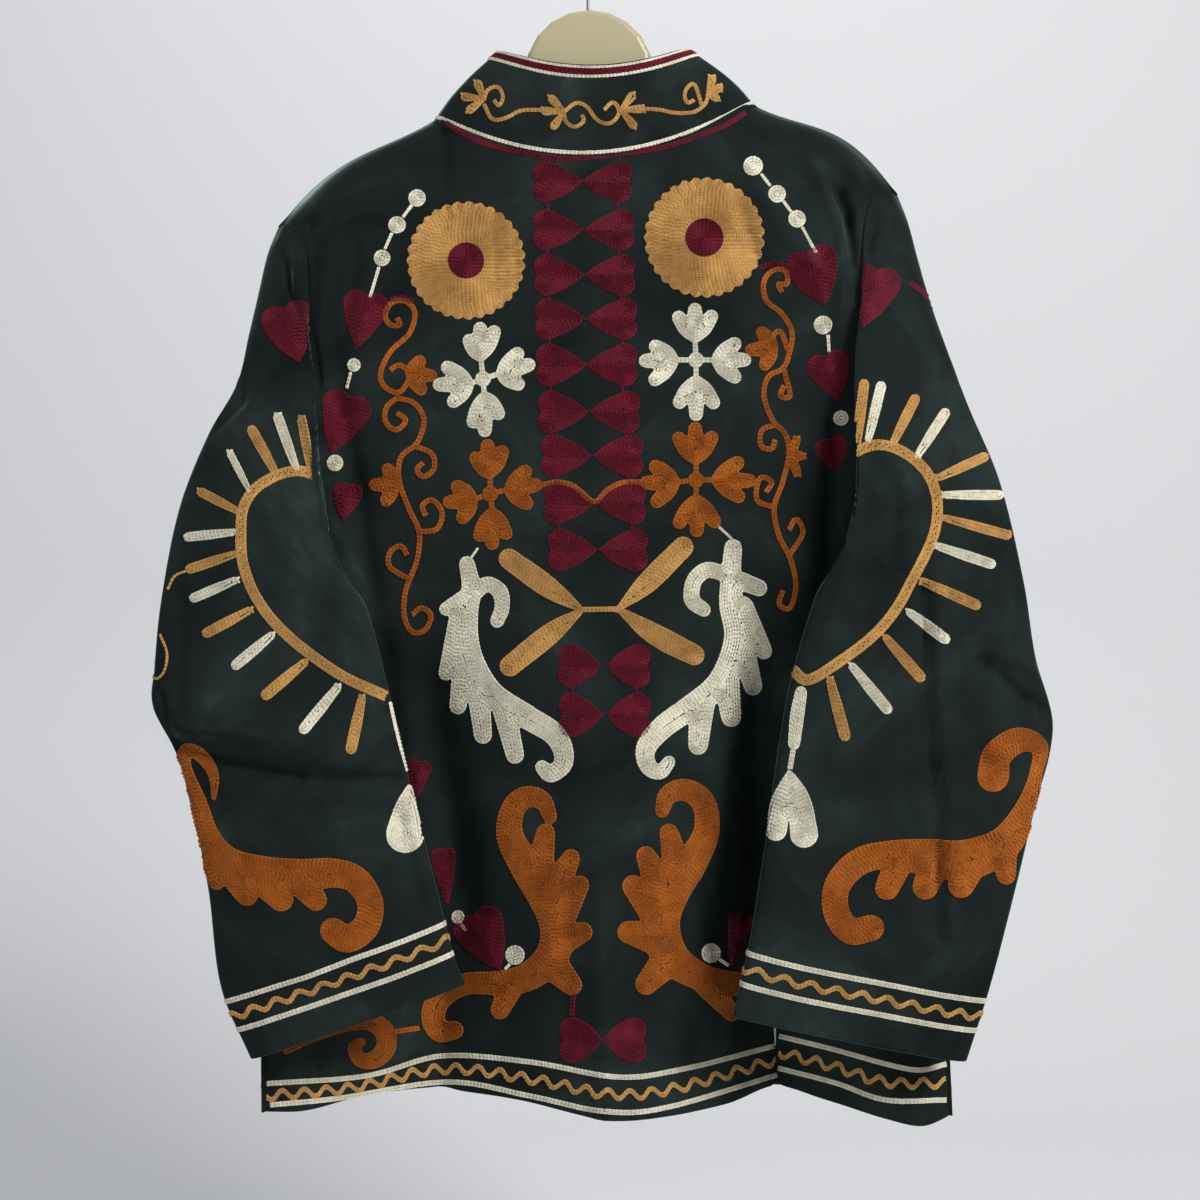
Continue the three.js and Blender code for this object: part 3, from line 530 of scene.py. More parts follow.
class Cloth:
    """One sewn piece: its outer surface, for laying stitches on, and its shell."""

    def __init__(self, name, grid, toward, tube=False, wall=WALL, inward=None):
        self.name, self.grid, self.tube = name, grid, tube
        way = normals_of(grid, tube) if inward is None else inward
        if inward is None and np.mean(np.sum(way * toward(grid), -1)) < 0:
            way = -way
        self.sign = 1 if np.mean(np.sum(way * normals_of(grid, tube), -1)) > 0 else -1
        height, width = grid.shape[:2]
        faces = quads(height, width, tube)
        self.tree = BVHTree.FromPolygons(
            [Vector(p) for p in grid.reshape(-1, 3)], faces.tolist(), all_triangles=False
        )
        self.height, self.width, self.wall, self.way = height, width, wall, way

    def build(self, material):
        """The shell: outer face, rounded rims and inner face."""
        height, width = self.height, self.width
        inner = self.grid + self.way * self.wall
        count = height * width
        outer_faces = quads(height, width, self.tube)
        points = [self.grid.reshape(-1, 3), inner.reshape(-1, 3)]
        faces = [outer_faces, outer_faces[:, ::-1] + count]
        base = 2 * count
        for ring, step in self.rims():
            edge_outer = self.grid.reshape(-1, 3)[ring]
            edge_inner = inner.reshape(-1, 3)[ring]
            out = unit(edge_outer - self.grid.reshape(-1, 3)[step])
            wall = np.broadcast_to(self.wall, (height, width, 1)).reshape(-1, 1)[ring]
            middle = (edge_outer + edge_inner) / 2 + out * wall * 0.35
            points.append(middle)
            n = len(ring)
            spans = np.arange(n if self.tube else n - 1)
            after = (spans + 1) % n
            mid, mid_after = base + spans, base + after
            a, b = ring[spans], ring[after]
            faces.append(np.stack([a, b, mid_after, mid], -1))
            faces.append(np.stack([mid, mid_after, b + count, a + count], -1))
            base += n
        points, faces = np.concatenate(points), np.concatenate(faces)
        thing = new_object(self.name + "_cloth", points, faces, material)
        if volume(points, faces) < 0:
            thing.data.flip_normals()
        return thing

    def rims(self):
        h, w = self.height, self.width
        index = np.arange(h * w).reshape(h, w)
        pairs = [(index[0], index[1]), (index[-1, ::-1], index[-2, ::-1])]
        if not self.tube:
            pairs += [(index[::-1, 0], index[::-1, 1]), (index[:, -1], index[:, -2])]
        return pairs


def volume(points, faces):
    a, b, c, d = (points[faces[:, k]] for k in range(4))
    return float(np.sum(np.cross(a, b) * c) + np.sum(np.cross(a, c) * d)) / 6


# ---- materials ----


def set_inputs(node, **values):
    """Sets a node's inputs by name, with _ for each space."""
    for key, value in values.items():
        node.inputs[key.replace("_", " ")].default_value = value


def shader(name, color, roughness, **sockets):
    material = bpy.data.materials.new(name)
    material.use_nodes = True
    bsdf = material.node_tree.nodes["Principled BSDF"]
    set_inputs(bsdf, Base_Color=(*color, 1), Roughness=roughness, **sockets)
    return material, material.node_tree, bsdf


def noise(tree, scale, detail, rough=0.5, distortion=0.0):
    where = tree.nodes.new("ShaderNodeTexCoord")
    node = tree.nodes.new("ShaderNodeTexNoise")
    set_inputs(node, Scale=scale, Detail=detail, Roughness=rough, Distortion=distortion)
    tree.links.new(where.outputs["Object"], node.inputs["Vector"])
    return node


def ramp(tree, source, stops):
    node = tree.nodes.new("ShaderNodeValToRGB")
    elements = node.color_ramp.elements
    for k in (0, -1):
        elements[k].position, elements[k].color = stops[k][0], (*stops[k][1], 1)
    for at, color in stops[1:-1]:
        elements.new(at).color = (*color, 1)
    tree.links.new(source, node.inputs["Fac"])
    return node


def bump(tree, bsdf, source, strength, distance):
    node = tree.nodes.new("ShaderNodeBump")
    set_inputs(node, Strength=strength, Distance=distance)
    tree.links.new(source, node.inputs["Height"])
    tree.links.new(node.outputs["Normal"], bsdf.inputs["Normal"])


def velvet_material():
    """Short pile: a dark base, a pale sheen at grazing angles, and patches brushed either way,
    painted into the base colour: partly the pile's random tone, the light patches a painted sheen.
    """
    material, tree, bsdf = shader(
        "velvet", (0.0095, 0.0155, 0.0145), 0.85,
        Sheen_Weight=0.6, Sheen_Roughness=0.26, Sheen_Tint=(0.42, 0.60, 0.57, 1),
        Specular_IOR_Level=0.06,
    )
    # Patches of base colour, partly the pile's random tone and partly painted sheen: the lightest
    # stops stand in for highlights on the pile
    pile_sheen_noise = noise(tree, 8, 6, 0.66, 0.7)
    pile_tone_and_painted_sheen = ramp(
        tree, pile_sheen_noise.outputs["Fac"],
        [
            (0.28, (0.0045, 0.0072, 0.0068)), (0.48, (0.0090, 0.0140, 0.0130)),
            (0.60, (0.0140, 0.0220, 0.0203)), (0.76, (0.0290, 0.0460, 0.0425)),
        ],
    )
    tree.links.new(pile_tone_and_painted_sheen.outputs["Color"], bsdf.inputs["Base Color"])
    pile = noise(tree, 1500, 2)
    bump(tree, bsdf, pile.outputs["Fac"], 0.25, 0.0006)
    return material


def thread_material(name, dark, pale):
    material, tree, bsdf = shader(name, pale, 0.7, Sheen_Weight=0.05, Specular_IOR_Level=0.2)
    uneven = noise(tree, 60, 4, 0.7)
    dyed = ramp(tree, uneven.outputs["Fac"], [(0.3, dark), (0.7, pale)])
    tree.links.new(dyed.outputs["Color"], bsdf.inputs["Base Color"])
    twist = noise(tree, 2600, 1)
    bump(tree, bsdf, twist.outputs["Fac"], 0.35, 0.0004)
    return material


VELVET = velvet_material()
MAROON = thread_material("thread_maroon", (0.085, 0.0015, 0.010), (0.165, 0.004, 0.022))
GOLD = thread_material("thread_gold", (0.40, 0.215, 0.06), (0.60, 0.35, 0.115))
RUST = thread_material("thread_rust", (0.27, 0.068, 0.005), (0.45, 0.13, 0.010))
CREAM = thread_material("thread_cream", (0.55, 0.52, 0.40), (0.80, 0.77, 0.64))
BOARD = shader(
    "hanger_board", (0.385, 0.345, 0.21), 0.45, Specular_IOR_Level=0.35, Coat_Weight=0.1
)[0]
WIRE = shader("hook_wire", (0.05, 0.055, 0.07), 0.3, Metallic=0.9)[0]


# ---- cloth ----

backward, forward = np.array([0.0, 1, 0]), np.array([0.0, -1, 0])


def to_middle(grid):
    """From each point of a tube to the middle of its ring."""
    return grid.mean(axis=1, keepdims=True) - grid


SLEEVE_WALL = mix(0.5, WALL, smooth(0, 0.12, SLEEVE_T))[:, None, None]
back = Cloth("back", back_grid(), lambda g: backward)
front_left, front_right = (
    Cloth(name, front_grid(half, table, hem, seed), lambda g: forward)
    for name, half, table, hem, seed in (
        ("front_left", LEFT, SLEEVE_LEFT, HEM_FRONT_LEFT, 21),
        ("front_right", RIGHT, SLEEVE_RIGHT, HEM_FRONT_RIGHT, 22),
    )
)
sleeve_left, sleeve_right = (
    Cloth(name, sleeve_grid(half, table, wrinkles, seed), to_middle, tube=True, wall=SLEEVE_WALL)
    for name, half, table, wrinkles, seed in (
        ("sleeve_left", LEFT, SLEEVE_LEFT, SLEEVE_LEFT_CREASES, 31),
        ("sleeve_right", RIGHT, SLEEVE_RIGHT, SLEEVE_RIGHT_CREASES, 32),
    )
)
collar_points, collar_inward = collar_grid()
collar = Cloth("collar", collar_points, None, wall=COLLAR_WALL, inward=collar_inward)

# ---- embroidery ----
# Drawn in the camera's drawing units, then laid on the cloth along the camera's rays. A line that
# runs past a sleeve's edge turns round the fold and goes on along the sleeve's other side.

# In drawing units: from row to row, from ray to ray, and from ball to ball in a stroke
PITCH = 2.62
RAY_STEP = 1.6
BALL_STEP = 1.2
# In mm: a stitch's length, width and height, the steps along a border, the shortest run that is
# sewn, and the gap in a run at which it is cut in two
STITCH = 2.9
ROW_WIDTH = 1.95
ROW_HEIGHT = 1.25
BORDER_STEP = 1.2
SHORTEST = 1
JUMP = 6
# Between which shares of its size a stitch varies
UNEVEN = (0.92, 1.1)
# The least cosine between a ray and the cloth's normal
FACING = 0.22
# Single stitches on a ridge, in drawing units: half their length, how far apart they are, and how
# near the ridge is followed. RIDGE is how sharp it is at least, LEFT_OVER which shares of a pitch
# past the last row leave a gap
LONE_HALF = 2.1
LONE_APART = 3
LONE_NEAR = 5
RIDGE = 0.5
LEFT_OVER = (0.06, 0.62)
# Depth far outside a shape, and how many spots are measured at once
OUTSIDE = -99.0
AT_ONCE = 1500


def brush(rows):
    """Balls (x, y, r) close together on a smooth path through a few given ones."""
    table = [(k, *row) for k, row in enumerate(rows)]
    length = sum(math.dist(a[:2], b[:2]) for a, b in zip(rows, rows[1:]))
    return along(table, np.linspace(0, len(rows) - 1, max(int(length / BALL_STEP), 4)))[:, 1:]


def smooth_path(points):
    return brush([(*p, 0) for p in points])[:, :2]


def contours(field, level):
    """Lines, in cells, along which a field on a grid passes a level."""
    above = field > level
    mixed = above[:-1, :-1] * 1 + above[:-1, 1:] + above[1:, 1:] + above[1:, :-1]
    links, place = {}, {}

    def cross(i, j, di, dj):
        a, b = field[i, j], field[i + di, j + dj]
        t = (level - a) / (b - a)
        place[i, j, di] = (j + t * dj, i + t * di)
        return i, j, di

    for i, j in np.argwhere((mixed > 0) & (mixed < 4)).tolist():
        corners = ((i, j, 0, 1), (i, j + 1, 1, 0), (i + 1, j, 0, 1), (i, j, 1, 0))
        sides = [cross(*c) for c in corners if above[c[0], c[1]] != above[c[0] + c[2], c[1] + c[3]]]
        for a, b in zip(sides[::2], sides[1::2]):
            links.setdefault(a, []).append(b)
            links.setdefault(b, []).append(a)
    lines = []
    while links:
        key = next(iter(links))
        line = [place[key]]
        while links.get(key):
            after = links[key].pop()
            links[after].remove(key)
            if not links[key]:
                del links[key]
            key = after
            line.append(place[key])
        links.pop(key, None)
        if len(line) > 3:
            lines.append(np.array(line))
    return lines


def rows_inside(strokes):
    """Rows of stitches one inside the other, along the edge of a union of strokes."""
    balls = np.concatenate([brush(s) for s in strokes])
    low = (balls[:, :2] - balls[:, 2:]).min(0) - 2
    high = (balls[:, :2] + balls[:, 2:]).max(0) + 2
    x, y = np.meshgrid(np.arange(low[0], high[0]), np.arange(low[1], high[1]))
    field = np.full(x.shape, OUTSIDE)
    for bx, by, r in balls:
        i, j = (
            slice(max(int(c - r - low[k] - 4), 0), int(c + r - low[k] + 5))
            for k, c in ((1, by), (0, bx))
        )
        field[i, j] = np.maximum(field[i, j], r - np.hypot(x[i, j] - bx, y[i, j] - by))
    edge = np.concatenate(contours(field, 0)) + low
    inside = field > 0
    spots = np.stack([x[inside], y[inside]], -1)
    field[inside] = np.concatenate(
        [
            np.sqrt(((part[:, None] - edge[None]) ** 2).sum(-1).min(1))
            for part in np.array_split(spots, len(spots) // AT_ONCE + 1)
        ]
    )
    levels = np.arange(PITCH / 2, field.max(), PITCH)
    rows = [line for level in levels for line in contours(field, level)]
    return [line + low for line in rows + ridge_stitches(field)]


def ridge_stitches(field):
    """Single stitches along the middle of a shape, where the last rows leave a gap."""
    inner = field[1:-1, 1:-1]
    crest = np.zeros(inner.shape, bool)
    height, width = field.shape
    for di, dj in ((0, 1), (1, 0), (1, 1), (1, -1)):
        one = field[1 + di:height - 1 + di, 1 + dj:width - 1 + dj]
        other = field[1 - di:height - 1 - di, 1 - dj:width - 1 - dj]
        crest |= (inner >= one) & (inner >= other) & (2 * inner - one - other > RIDGE)
    part = inner / PITCH % 1
    gap = (part > LEFT_OVER[0]) & (part < LEFT_OVER[1])
    spots = np.argwhere(crest & (inner > 1) & gap)[:, ::-1] + 1.0
    rows, kept = [], np.zeros((0, 2))
    for spot_here in spots:
        if len(kept) and np.hypot(*(kept - spot_here).T).min() < LONE_APART:
            continue
        kept = np.vstack([kept, spot_here])
        near = spots[np.hypot(*(spots - spot_here).T) < LONE_NEAR] - spot_here
        way = np.linalg.eigh(near.T @ near + 1e-6 * np.eye(2))[1][:, 1]
        rows.append(np.array([spot_here - way * LONE_HALF, spot_here + way * LONE_HALF]))
    return rows


class Edge:
    """Where a sleeve turns away in the drawing: its left or right side, as x at each y."""

    # In drawing units: from one y to the next, and how far up and down the slope is taken
    STEP, SPAN = 6, 4

    def __init__(self, cloth, outside, top):
        at, step = drawn(cloth.grid).reshape(-1, 2), self.STEP
        bins = np.arange(top, at[:, 1].max() - step, step)
        self.y = bins + step / 2
        self.x = np.array(
            [
                outside * (at[(at[:, 1] >= b) & (at[:, 1] < b + step), 0] * outside).max()
                for b in bins
            ]
        )
        self.top, self.outside = top, outside

    def folded(self, x, y):
        """A point past the edge, folded back over it, or None."""
        if y < self.top:
            return None
        before, after = (np.interp(y + side * self.SPAN, self.y, self.x) for side in (-1, 1))
        slope = (after - before) / (2 * self.SPAN)
        off = (x - np.interp(y, self.y, self.x)) / (1 + slope * slope)
        return (x - 2 * off, y + 2 * off * slope) if off * self.outside > 0 else None


EDGES = {
    "sleeve_left": (Edge(sleeve_left, 1, 500), Edge(sleeve_left, -1, 260)),
    "sleeve_right": (Edge(sleeve_right, -1, 470), Edge(sleeve_right, 1, 240)),
}


def spot(cloth, x, y):
    """Point and outward normal where a drawing point lies on a piece, or None."""
    start, toward = Vector(EYE), 1
    for edge in EDGES.get(cloth.name, ()):
        back_over = edge.folded(x, y)
        if back_over:
            (x, y), toward = back_over, -1
    way = Vector(((x - SIDE / 2) * UNIT / REACH, 1, (SIDE / 2 - y) * UNIT / REACH))
    if toward < 0:
        start = start + way * BEYOND
    place, normal, _, _ = cloth.tree.ray_cast(start, (way * toward).normalized())
    if place is None or (normal * cloth.sign).dot(way * toward) > -FACING:
        return None
    return place, normal * cloth.sign


def runs_on(cloth, line):
    """A drawn line on a piece, as runs of points and normals."""
    total = run_length(steps_of(line))
    at = np.linspace(0, total[-1], max(int(total[-1] / RAY_STEP), 2))
    runs = [[]]
    for x, y in zip(np.interp(at, total, line[:, 0]), np.interp(at, total, line[:, 1])):
        hit = spot(cloth, x, y)
        if hit:
            if runs[-1] and (hit[0] - runs[-1][-1][0]).length > JUMP:
                runs.append([])
            runs[-1].append(hit)
    return [[np.array(part) for part in zip(*run)] for run in runs if len(run) > 1]


def square_to(path):
    """Unit vectors square to a path, in the drawing."""
    way = np.gradient(path, axis=0)
    way /= np.maximum(np.hypot(*way.T), 1e-6)[:, None]
    return np.stack([-way[:, 1], way[:, 0]], -1)


def abreast(count):
    """Where rows side by side lie, counted in rows from their middle."""
    return [k - (count - 1) / 2 for k in range(count)]


def link_shape():
    """One chain stitch: two plump strands that part and meet, over a flat underlay."""
    strand = [
        (-0.08, 0.08, 0.10), (0.28, 0.86, 0.02), (0.28, 0.50, 0.85), (0.28, 0.10, 0.05),
        (0.78, 1.02, 0.02), (0.78, 0.60, 1.00), (0.78, 0.16, 0.10), (1.16, 0.30, 0.25),
    ]
    fan = [(0, 1, 2), (0, 2, 3), (1, 4, 5), (1, 5, 2), (2, 5, 6), (2, 6, 3), (4, 7, 5), (5, 7, 6)]
    points = strand + [(t, -s, h) for t, s, h in strand]
    faces = fan + [(a + 8, c + 8, b + 8) for a, b, c in fan]
    points += [(0, -0.9, 0.12), (1, -0.9, 0.12), (1, 0.9, 0.12), (0, 0.9, 0.12)]
    return np.array(points), np.array(faces + [(16, 17, 18), (16, 18, 19)])


LINK_POINTS, LINK_FACES = link_shape()


class Thread:
    """All the chain stitches of one colour on one piece."""

    made = []

    def __init__(self, cloth, slot, material):
        self.cloth, self.slot, self.material, self.parts = cloth, slot, material, []
        Thread.made.append(self)

    def stitch(self, points, normals, width=1.0):
        """Stitches of even length along a run of points."""
        total = run_length(np.linalg.norm(np.diff(points, axis=0), axis=1))
        if total[-1] < SHORTEST:
            return
        count = max(round(total[-1] / STITCH), 1)
        at = np.linspace(0, total[-1], count + 1)
        p, n = (
            np.stack([np.interp(at, total, of[:, k]) for k in range(3)], -1)
            for of in (points, normals)
        )
        self.parts.append((p[:-1], p[1:], n[:-1] + n[1:], np.full(count, width)))

    def row(self, line, width=1.0):
        """One row along a line in the drawing."""
        for points, normals in runs_on(self.cloth, np.asarray(line, float)):
            self.stitch(points, normals, width)

    def line(self, points, count=2, pitch=PITCH, width=1.0):
        """Rows side by side along a smooth path."""
        path = smooth_path(points)
        square = square_to(path)
        for k in abreast(count):
            self.row(path + square * k * pitch, width)

    def wavy(self, points, amplitude, period, count=2):
        """Rows side by side that wave about a smooth path."""
        path = smooth_path(points)
        square = square_to(path)
        swing = amplitude * np.sin(run_length(steps_of(path)) * 2 * np.pi / period)
        for k in abreast(count):
            self.row(path + square * (swing + k * PITCH)[:, None])

    def fill(self, *strokes):
        """Rows that fill a union of strokes."""
        for line in rows_inside(strokes):
            self.row(line)

    def disc(self, x, y, r):
        """Rings about a single stitch."""
        self.rings(x, y, 0.8, r)
        self.row(np.array([[x - 1.7, y], [x + 1.7, y]]))

    def rings(self, x, y, inner, outer, scallops=0, depth=0):
        """Rings from an outer radius to an inner one; scallops grow shallower inward."""
        angle = np.linspace(0, 2 * np.pi, 180 if scallops else 48)
        wave = np.abs(np.sin(angle * scallops / 2)) * depth - depth
        level, level_wave = outer - PITCH / 2, 1.0
        while level > inner:
            r = level + wave * level_wave
            self.row(np.stack([x + r * np.cos(angle), y + r * np.sin(angle)], -1))
            level, level_wave = level - PITCH, level_wave * 0.6

    def heart(self, tip, notch, breadth):
        """A heart between its tip and its notch."""
        way = np.subtract(notch, tip)
        reach = np.hypot(*way)
        way = way / reach
        lobe, off = breadth * 0.285, breadth * 0.215
        centre = np.array(tip) + way * (reach - breadth * 0.187)
        square = np.array([-way[1], way[0]]) * off
        strokes = []
        for side in (-1, 1):
            end = centre + square * side
            middle = mix(np.array(tip), end, 0.5)
            strokes.append([(*tip, 1.2), (*middle, lobe * 0.72), (*end, lobe)])
        self.fill(*strokes)

    def leaf(self, base, *tips, finger=6.6):
        """Fingers that spread from one base."""
        strokes = []
        for tip in tips:
            way = np.subtract(tip, base)
            reach = np.hypot(*way)
            end = np.array(tip) - way / reach * finger
            middle = mix(np.array(base), end, 0.5)
            strokes.append([(*base, 2.6), (*middle, finger * 1.2), (*end, finger * 1.06)])
        self.fill(*strokes)

    def foil(self, centre, hub, leaves):
        """Leaves round a hub, each on a short stem."""
        self.disc(*centre, hub)
        for base, *tips in leaves:
            self.line([centre, base], 2)
            self.leaf(base, *tips)

    def border(self, distance, wave=0.0, period=17.0, count=2, width=1.0, lower=True):
        """Rows at a distance in mm from the piece's last edge, or its first, all along it."""
        order = slice(None, None, -1) if lower else slice(None)
        grid, outward = self.cloth.grid[order], -self.cloth.way[order]
        if self.cloth.tube:
            grid, outward = (np.concatenate([g, g[:, :1]], 1) for g in (grid, outward))
        run = run_length(np.linalg.norm(np.diff(grid[0], axis=0), axis=1))
        up = np.linalg.norm(np.diff(grid, axis=0), axis=-1)
        up = np.concatenate([np.zeros((1, grid.shape[1])), np.cumsum(up, 0)])
        at = np.linspace(0, run[-1], int(run[-1] / BORDER_STEP))
        column = np.interp(at, run, np.arange(len(run)))
        for place in abreast(count):
            height = distance + wave * np.sin(at * 2 * np.pi / period) + place * PITCH * UNIT
            lines = []
            for field in (grid, outward):
                low = np.minimum(column.astype(int), len(run) - 2)
                part = (column - low)[:, None]
                ends = [
                    np.array([
                        [np.interp(h, up[:, j + side], field[:, j + side, k]) for k in range(3)]
                        for h, j in zip(height, low)
                    ])
                    for side in (0, 1)
                ]
                lines.append(mix(*ends, part))
            self.stitch(*lines, width)

    def build(self):
        """All stitches as one mesh, each link a little uneven."""
        start, end, normal, width = (np.concatenate(part) for part in zip(*self.parts))
        length = np.linalg.norm(end - start, axis=1, keepdims=True)
        way = (end - start) / np.maximum(length, 1e-6)
        across = unit(np.cross(normal, way))
        up = np.cross(way, across)
        rng = np.random.default_rng(len(start))
        uneven = rng.uniform(*UNEVEN, (3, len(start), 1, 1))
        size = width[:, None, None]
        t, s, h = (c[None, :, None] for c in LINK_POINTS.T)
        points = (
            start[:, None]
            + way[:, None] * t * length[:, None] * uneven[0]
            + across[:, None] * s * size * uneven[1] * ROW_WIDTH / 2
            + up[:, None] * h * np.sqrt(size) * uneven[2] * ROW_HEIGHT
        )
        faces = LINK_FACES[None] + (np.arange(len(start)) * len(LINK_POINTS))[:, None, None]
        name = f"{self.cloth.name}_{self.slot}"
        thing = new_object(name, points.reshape(-1, 3), faces.reshape(-1, 3), self.material)
        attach(thing, "root")
        return thing


def threads_on(cloth):
    colors = (("maroon", MAROON), ("gold", GOLD), ("rust", RUST), ("cream", CREAM))
    return [Thread(cloth, "thread_" + name, material) for name, material in colors]


def embroider_back():
    maroon, gold, rust, cream = threads_on(back)

    # Columns of hearts, point to point: tip x of the left and the right one, y, length, breadth
    ladder = [
        (582, 583, 182, 50, 41), (582, 585, 230, 50, 41), (583, 586, 275, 50, 42),
        (584, 588, 319, 50, 42), (585, 588, 365, 50, 43), (587, 591, 412, 50, 43),
        (590, 594, 456, 50, 43), (593, 597, 503, 50, 43), (596, 600, 550, 49, 43),
        (600, 608, 666, 43, 44), (601, 608, 715, 43, 45), (601, 605, 1040, 42, 46),
    ]
    for left, right, y, length, breadth in ladder:
        maroon.heart((left, y), (left - length + 5, y), breadth)
        maroon.heart((right, y), (right + length - 5, y), breadth)
    for a, b in zip(ladder[:8], ladder[1:9]):
        for x in (a[0] - 35, a[1] + 34):
            maroon.line([(x, a[2] + 19), (x + 1, b[2] - 19)], 1)
    for x in (572, 637):
        maroon.line([(x, 686), (x, 696)], 1)
    maroon.line([(574, 992), (572, 1016)], 2)
    rust.line(
        [(542, 485), (558, 482), (575, 487), (594, 502), (606, 491), (621, 483), (641, 482)], 2,
    )

    maroon.line(
        [(446, 123), (480, 142), (534, 155), (564, 159), (610, 155), (664, 147), (719, 128),
         (745, 113)], 2,
    )

    # Scalloped rosettes: x, y, radius, core radius
    for x, y, r, core in ((466, 260.6, 60, 19), (704.3, 237.6, 61, 20)):
        gold.rings(x, y, core, r, scallops=31, depth=5)
        maroon.disc(x, y, core - 0.5)

    # Foils: hub, then base and three finger ends of each leaf
    cream.foil((483, 379), 8, [
        ((481, 360), (466, 335), (480, 322), (497, 326)),
        ((498, 374), (522, 349), (535, 363), (524, 387)),
        ((472, 383), (442, 364), (433, 385), (449, 406)),
        ((484, 393), (471, 428), (485, 437), (502, 419)),
    ])
    cream.foil((696, 360), 8, [
        ((695, 341), (675, 312), (695, 303), (715, 311)),
        ((713, 360), (740, 340), (751, 360), (740, 381)),
        ((677, 360), (650, 343), (639, 361), (650, 384)),
        ((696, 377), (676, 408), (696, 421), (717, 408)),
    ])
    rust.foil((490, 494), 8, [
        ((490, 477), (472, 453), (487, 439), (505, 446)),
        ((506, 490), (530, 467), (542, 484), (532, 507)),
        ((475, 499), (452, 483), (443, 503), (459, 523)),
        ((492, 509), (477, 541), (492, 550), (509, 539)),
    ])
    rust.foil((696, 480), 8, [
        ((696, 463), (675, 433), (695, 422), (715, 432)),
        ((713, 480), (743, 459), (756, 481), (744, 500)),
        ((678, 482), (650, 463), (640, 483), (652, 506)),
        ((696, 496), (676, 528), (697, 537), (718, 527)),
    ])
    cream.line([(719, 527), (732, 539)], 1)
    cream.line([(478, 548), (471, 558)], 1)

    # Vines and their curls
    for stem in (
        [(397, 318), (400, 325), (390, 325), (385, 314), (393, 302), (407, 302), (415, 314),
         (409, 334), (391, 351), (381, 371), (383, 385), (397, 393), (406, 385), (409, 374),
         (400, 365), (390, 370)],
        [(397, 398), (414, 403), (424, 420), (417, 443), (401, 457), (399, 480), (409, 509),
         (419, 532), (417, 560), (406, 589), (404, 615), (412, 632), (425, 630), (431, 615),
         (421, 608), (412, 615)],
        [(397, 398), (386, 408), (386, 423), (397, 430), (406, 420), (397, 413)],
        [(415, 446), (432, 454), (434, 469), (423, 477), (417, 469), (423, 463)],
        [(419, 532), (437, 529), (442, 512), (432, 500), (422, 506), (426, 516)],
        [(412, 580), (403, 576), (389, 566), (390, 552), (401, 546), (407, 555)],
        [(782, 292), (778, 284), (787, 284), (786, 271), (774, 270), (764, 281), (766, 300),
         (782, 314), (792, 333), (788, 358), (782, 369), (768, 377), (764, 396), (773, 421),
         (785, 434), (789, 454), (782, 484), (774, 508), (779, 536), (790, 558), (796, 585),
         (790, 608), (779, 604), (783, 591)],
        [(788, 350), (780, 331), (772, 338), (776, 346)],
        [(784, 370), (790, 396), (780, 396), (784, 386)],
        [(776, 425), (762, 430), (761, 446), (772, 449), (775, 440)],
        [(776, 508), (757, 500), (760, 478), (772, 482), (766, 492)],
        [(789, 556), (803, 533), (796, 519), (789, 530)],
    ):
        rust.line(stem, 2)
    rust.leaf((408, 374), (424, 357), (437, 376), (425, 394), finger=6)
    rust.leaf((396, 484), (385, 464), (369, 485), (383, 506), finger=6)
    rust.leaf((775, 347), (758, 328), (745, 351), (762, 370), finger=6)
    rust.leaf((790, 456), (798, 436), (806, 456), (799, 477), finger=4)
    maroon.line([(413, 302), (402, 298), (390, 300)], 2)
    maroon.line([(759, 268), (773, 264), (787, 266)], 2)

    # Beads on threads, and the hearts that hang from them
    for x, y, r in (
        (417, 198, 9), (397, 225, 9), (382, 258, 8.5), (354, 365, 7), (335, 463, 8.5),
        (753, 166, 10), (777, 194, 9), (797, 219, 9), (823, 325, 9.5), (841, 418, 8), (458, 917, 7),
        (515, 955, 10), (711, 953, 10),
    ):
        cream.disc(x, y, r)
    for thread in (
        [(412, 205), (403, 217)], [(392, 233), (385, 249)], [(379, 267), (370, 297)],
        [(761, 174), (770, 186)], [(783, 201), (791, 212)], [(802, 227), (816, 253)],
        [(461, 924), (467, 931)], [(510, 964), (505, 969)], [(719, 959), (728, 965)],
        [(828, 335), (829, 352)], [(351, 372), (347, 388)],
    ):
        cream.line(thread, 1, width=1.3)
    for tip, notch, breadth in (
        ((357, 347), (368, 296), 46), ((331, 452), (350, 398), 50), ((343, 520), (349, 486), 30),
        ((825, 304), (808, 254), 54), ((838, 399), (826, 357), 44), ((838, 470), (829, 440), 34),
        ((412, 803), (420, 762), 26), ((447, 905), (443, 850), 26), ((500, 969), (474, 917), 52),
        ((731, 966), (741, 914), 26),
    ):
        maroon.heart(tip, notch, breadth)

    # Two pairs of long petals
    gold.line([(583, 609.6), (618, 609)], 2)
    for base, bend, end in (
        ((582, 610), (548, 587), (509, 559)), ((582, 610), (550, 634), (510, 666)),
        ((618, 609), (648, 582), (683, 547)), ((618, 609), (654, 634), (694, 655)),
    ):
        gold.fill([(*base, 2.6), (*bend, 10.5), (*end, 10.5)])

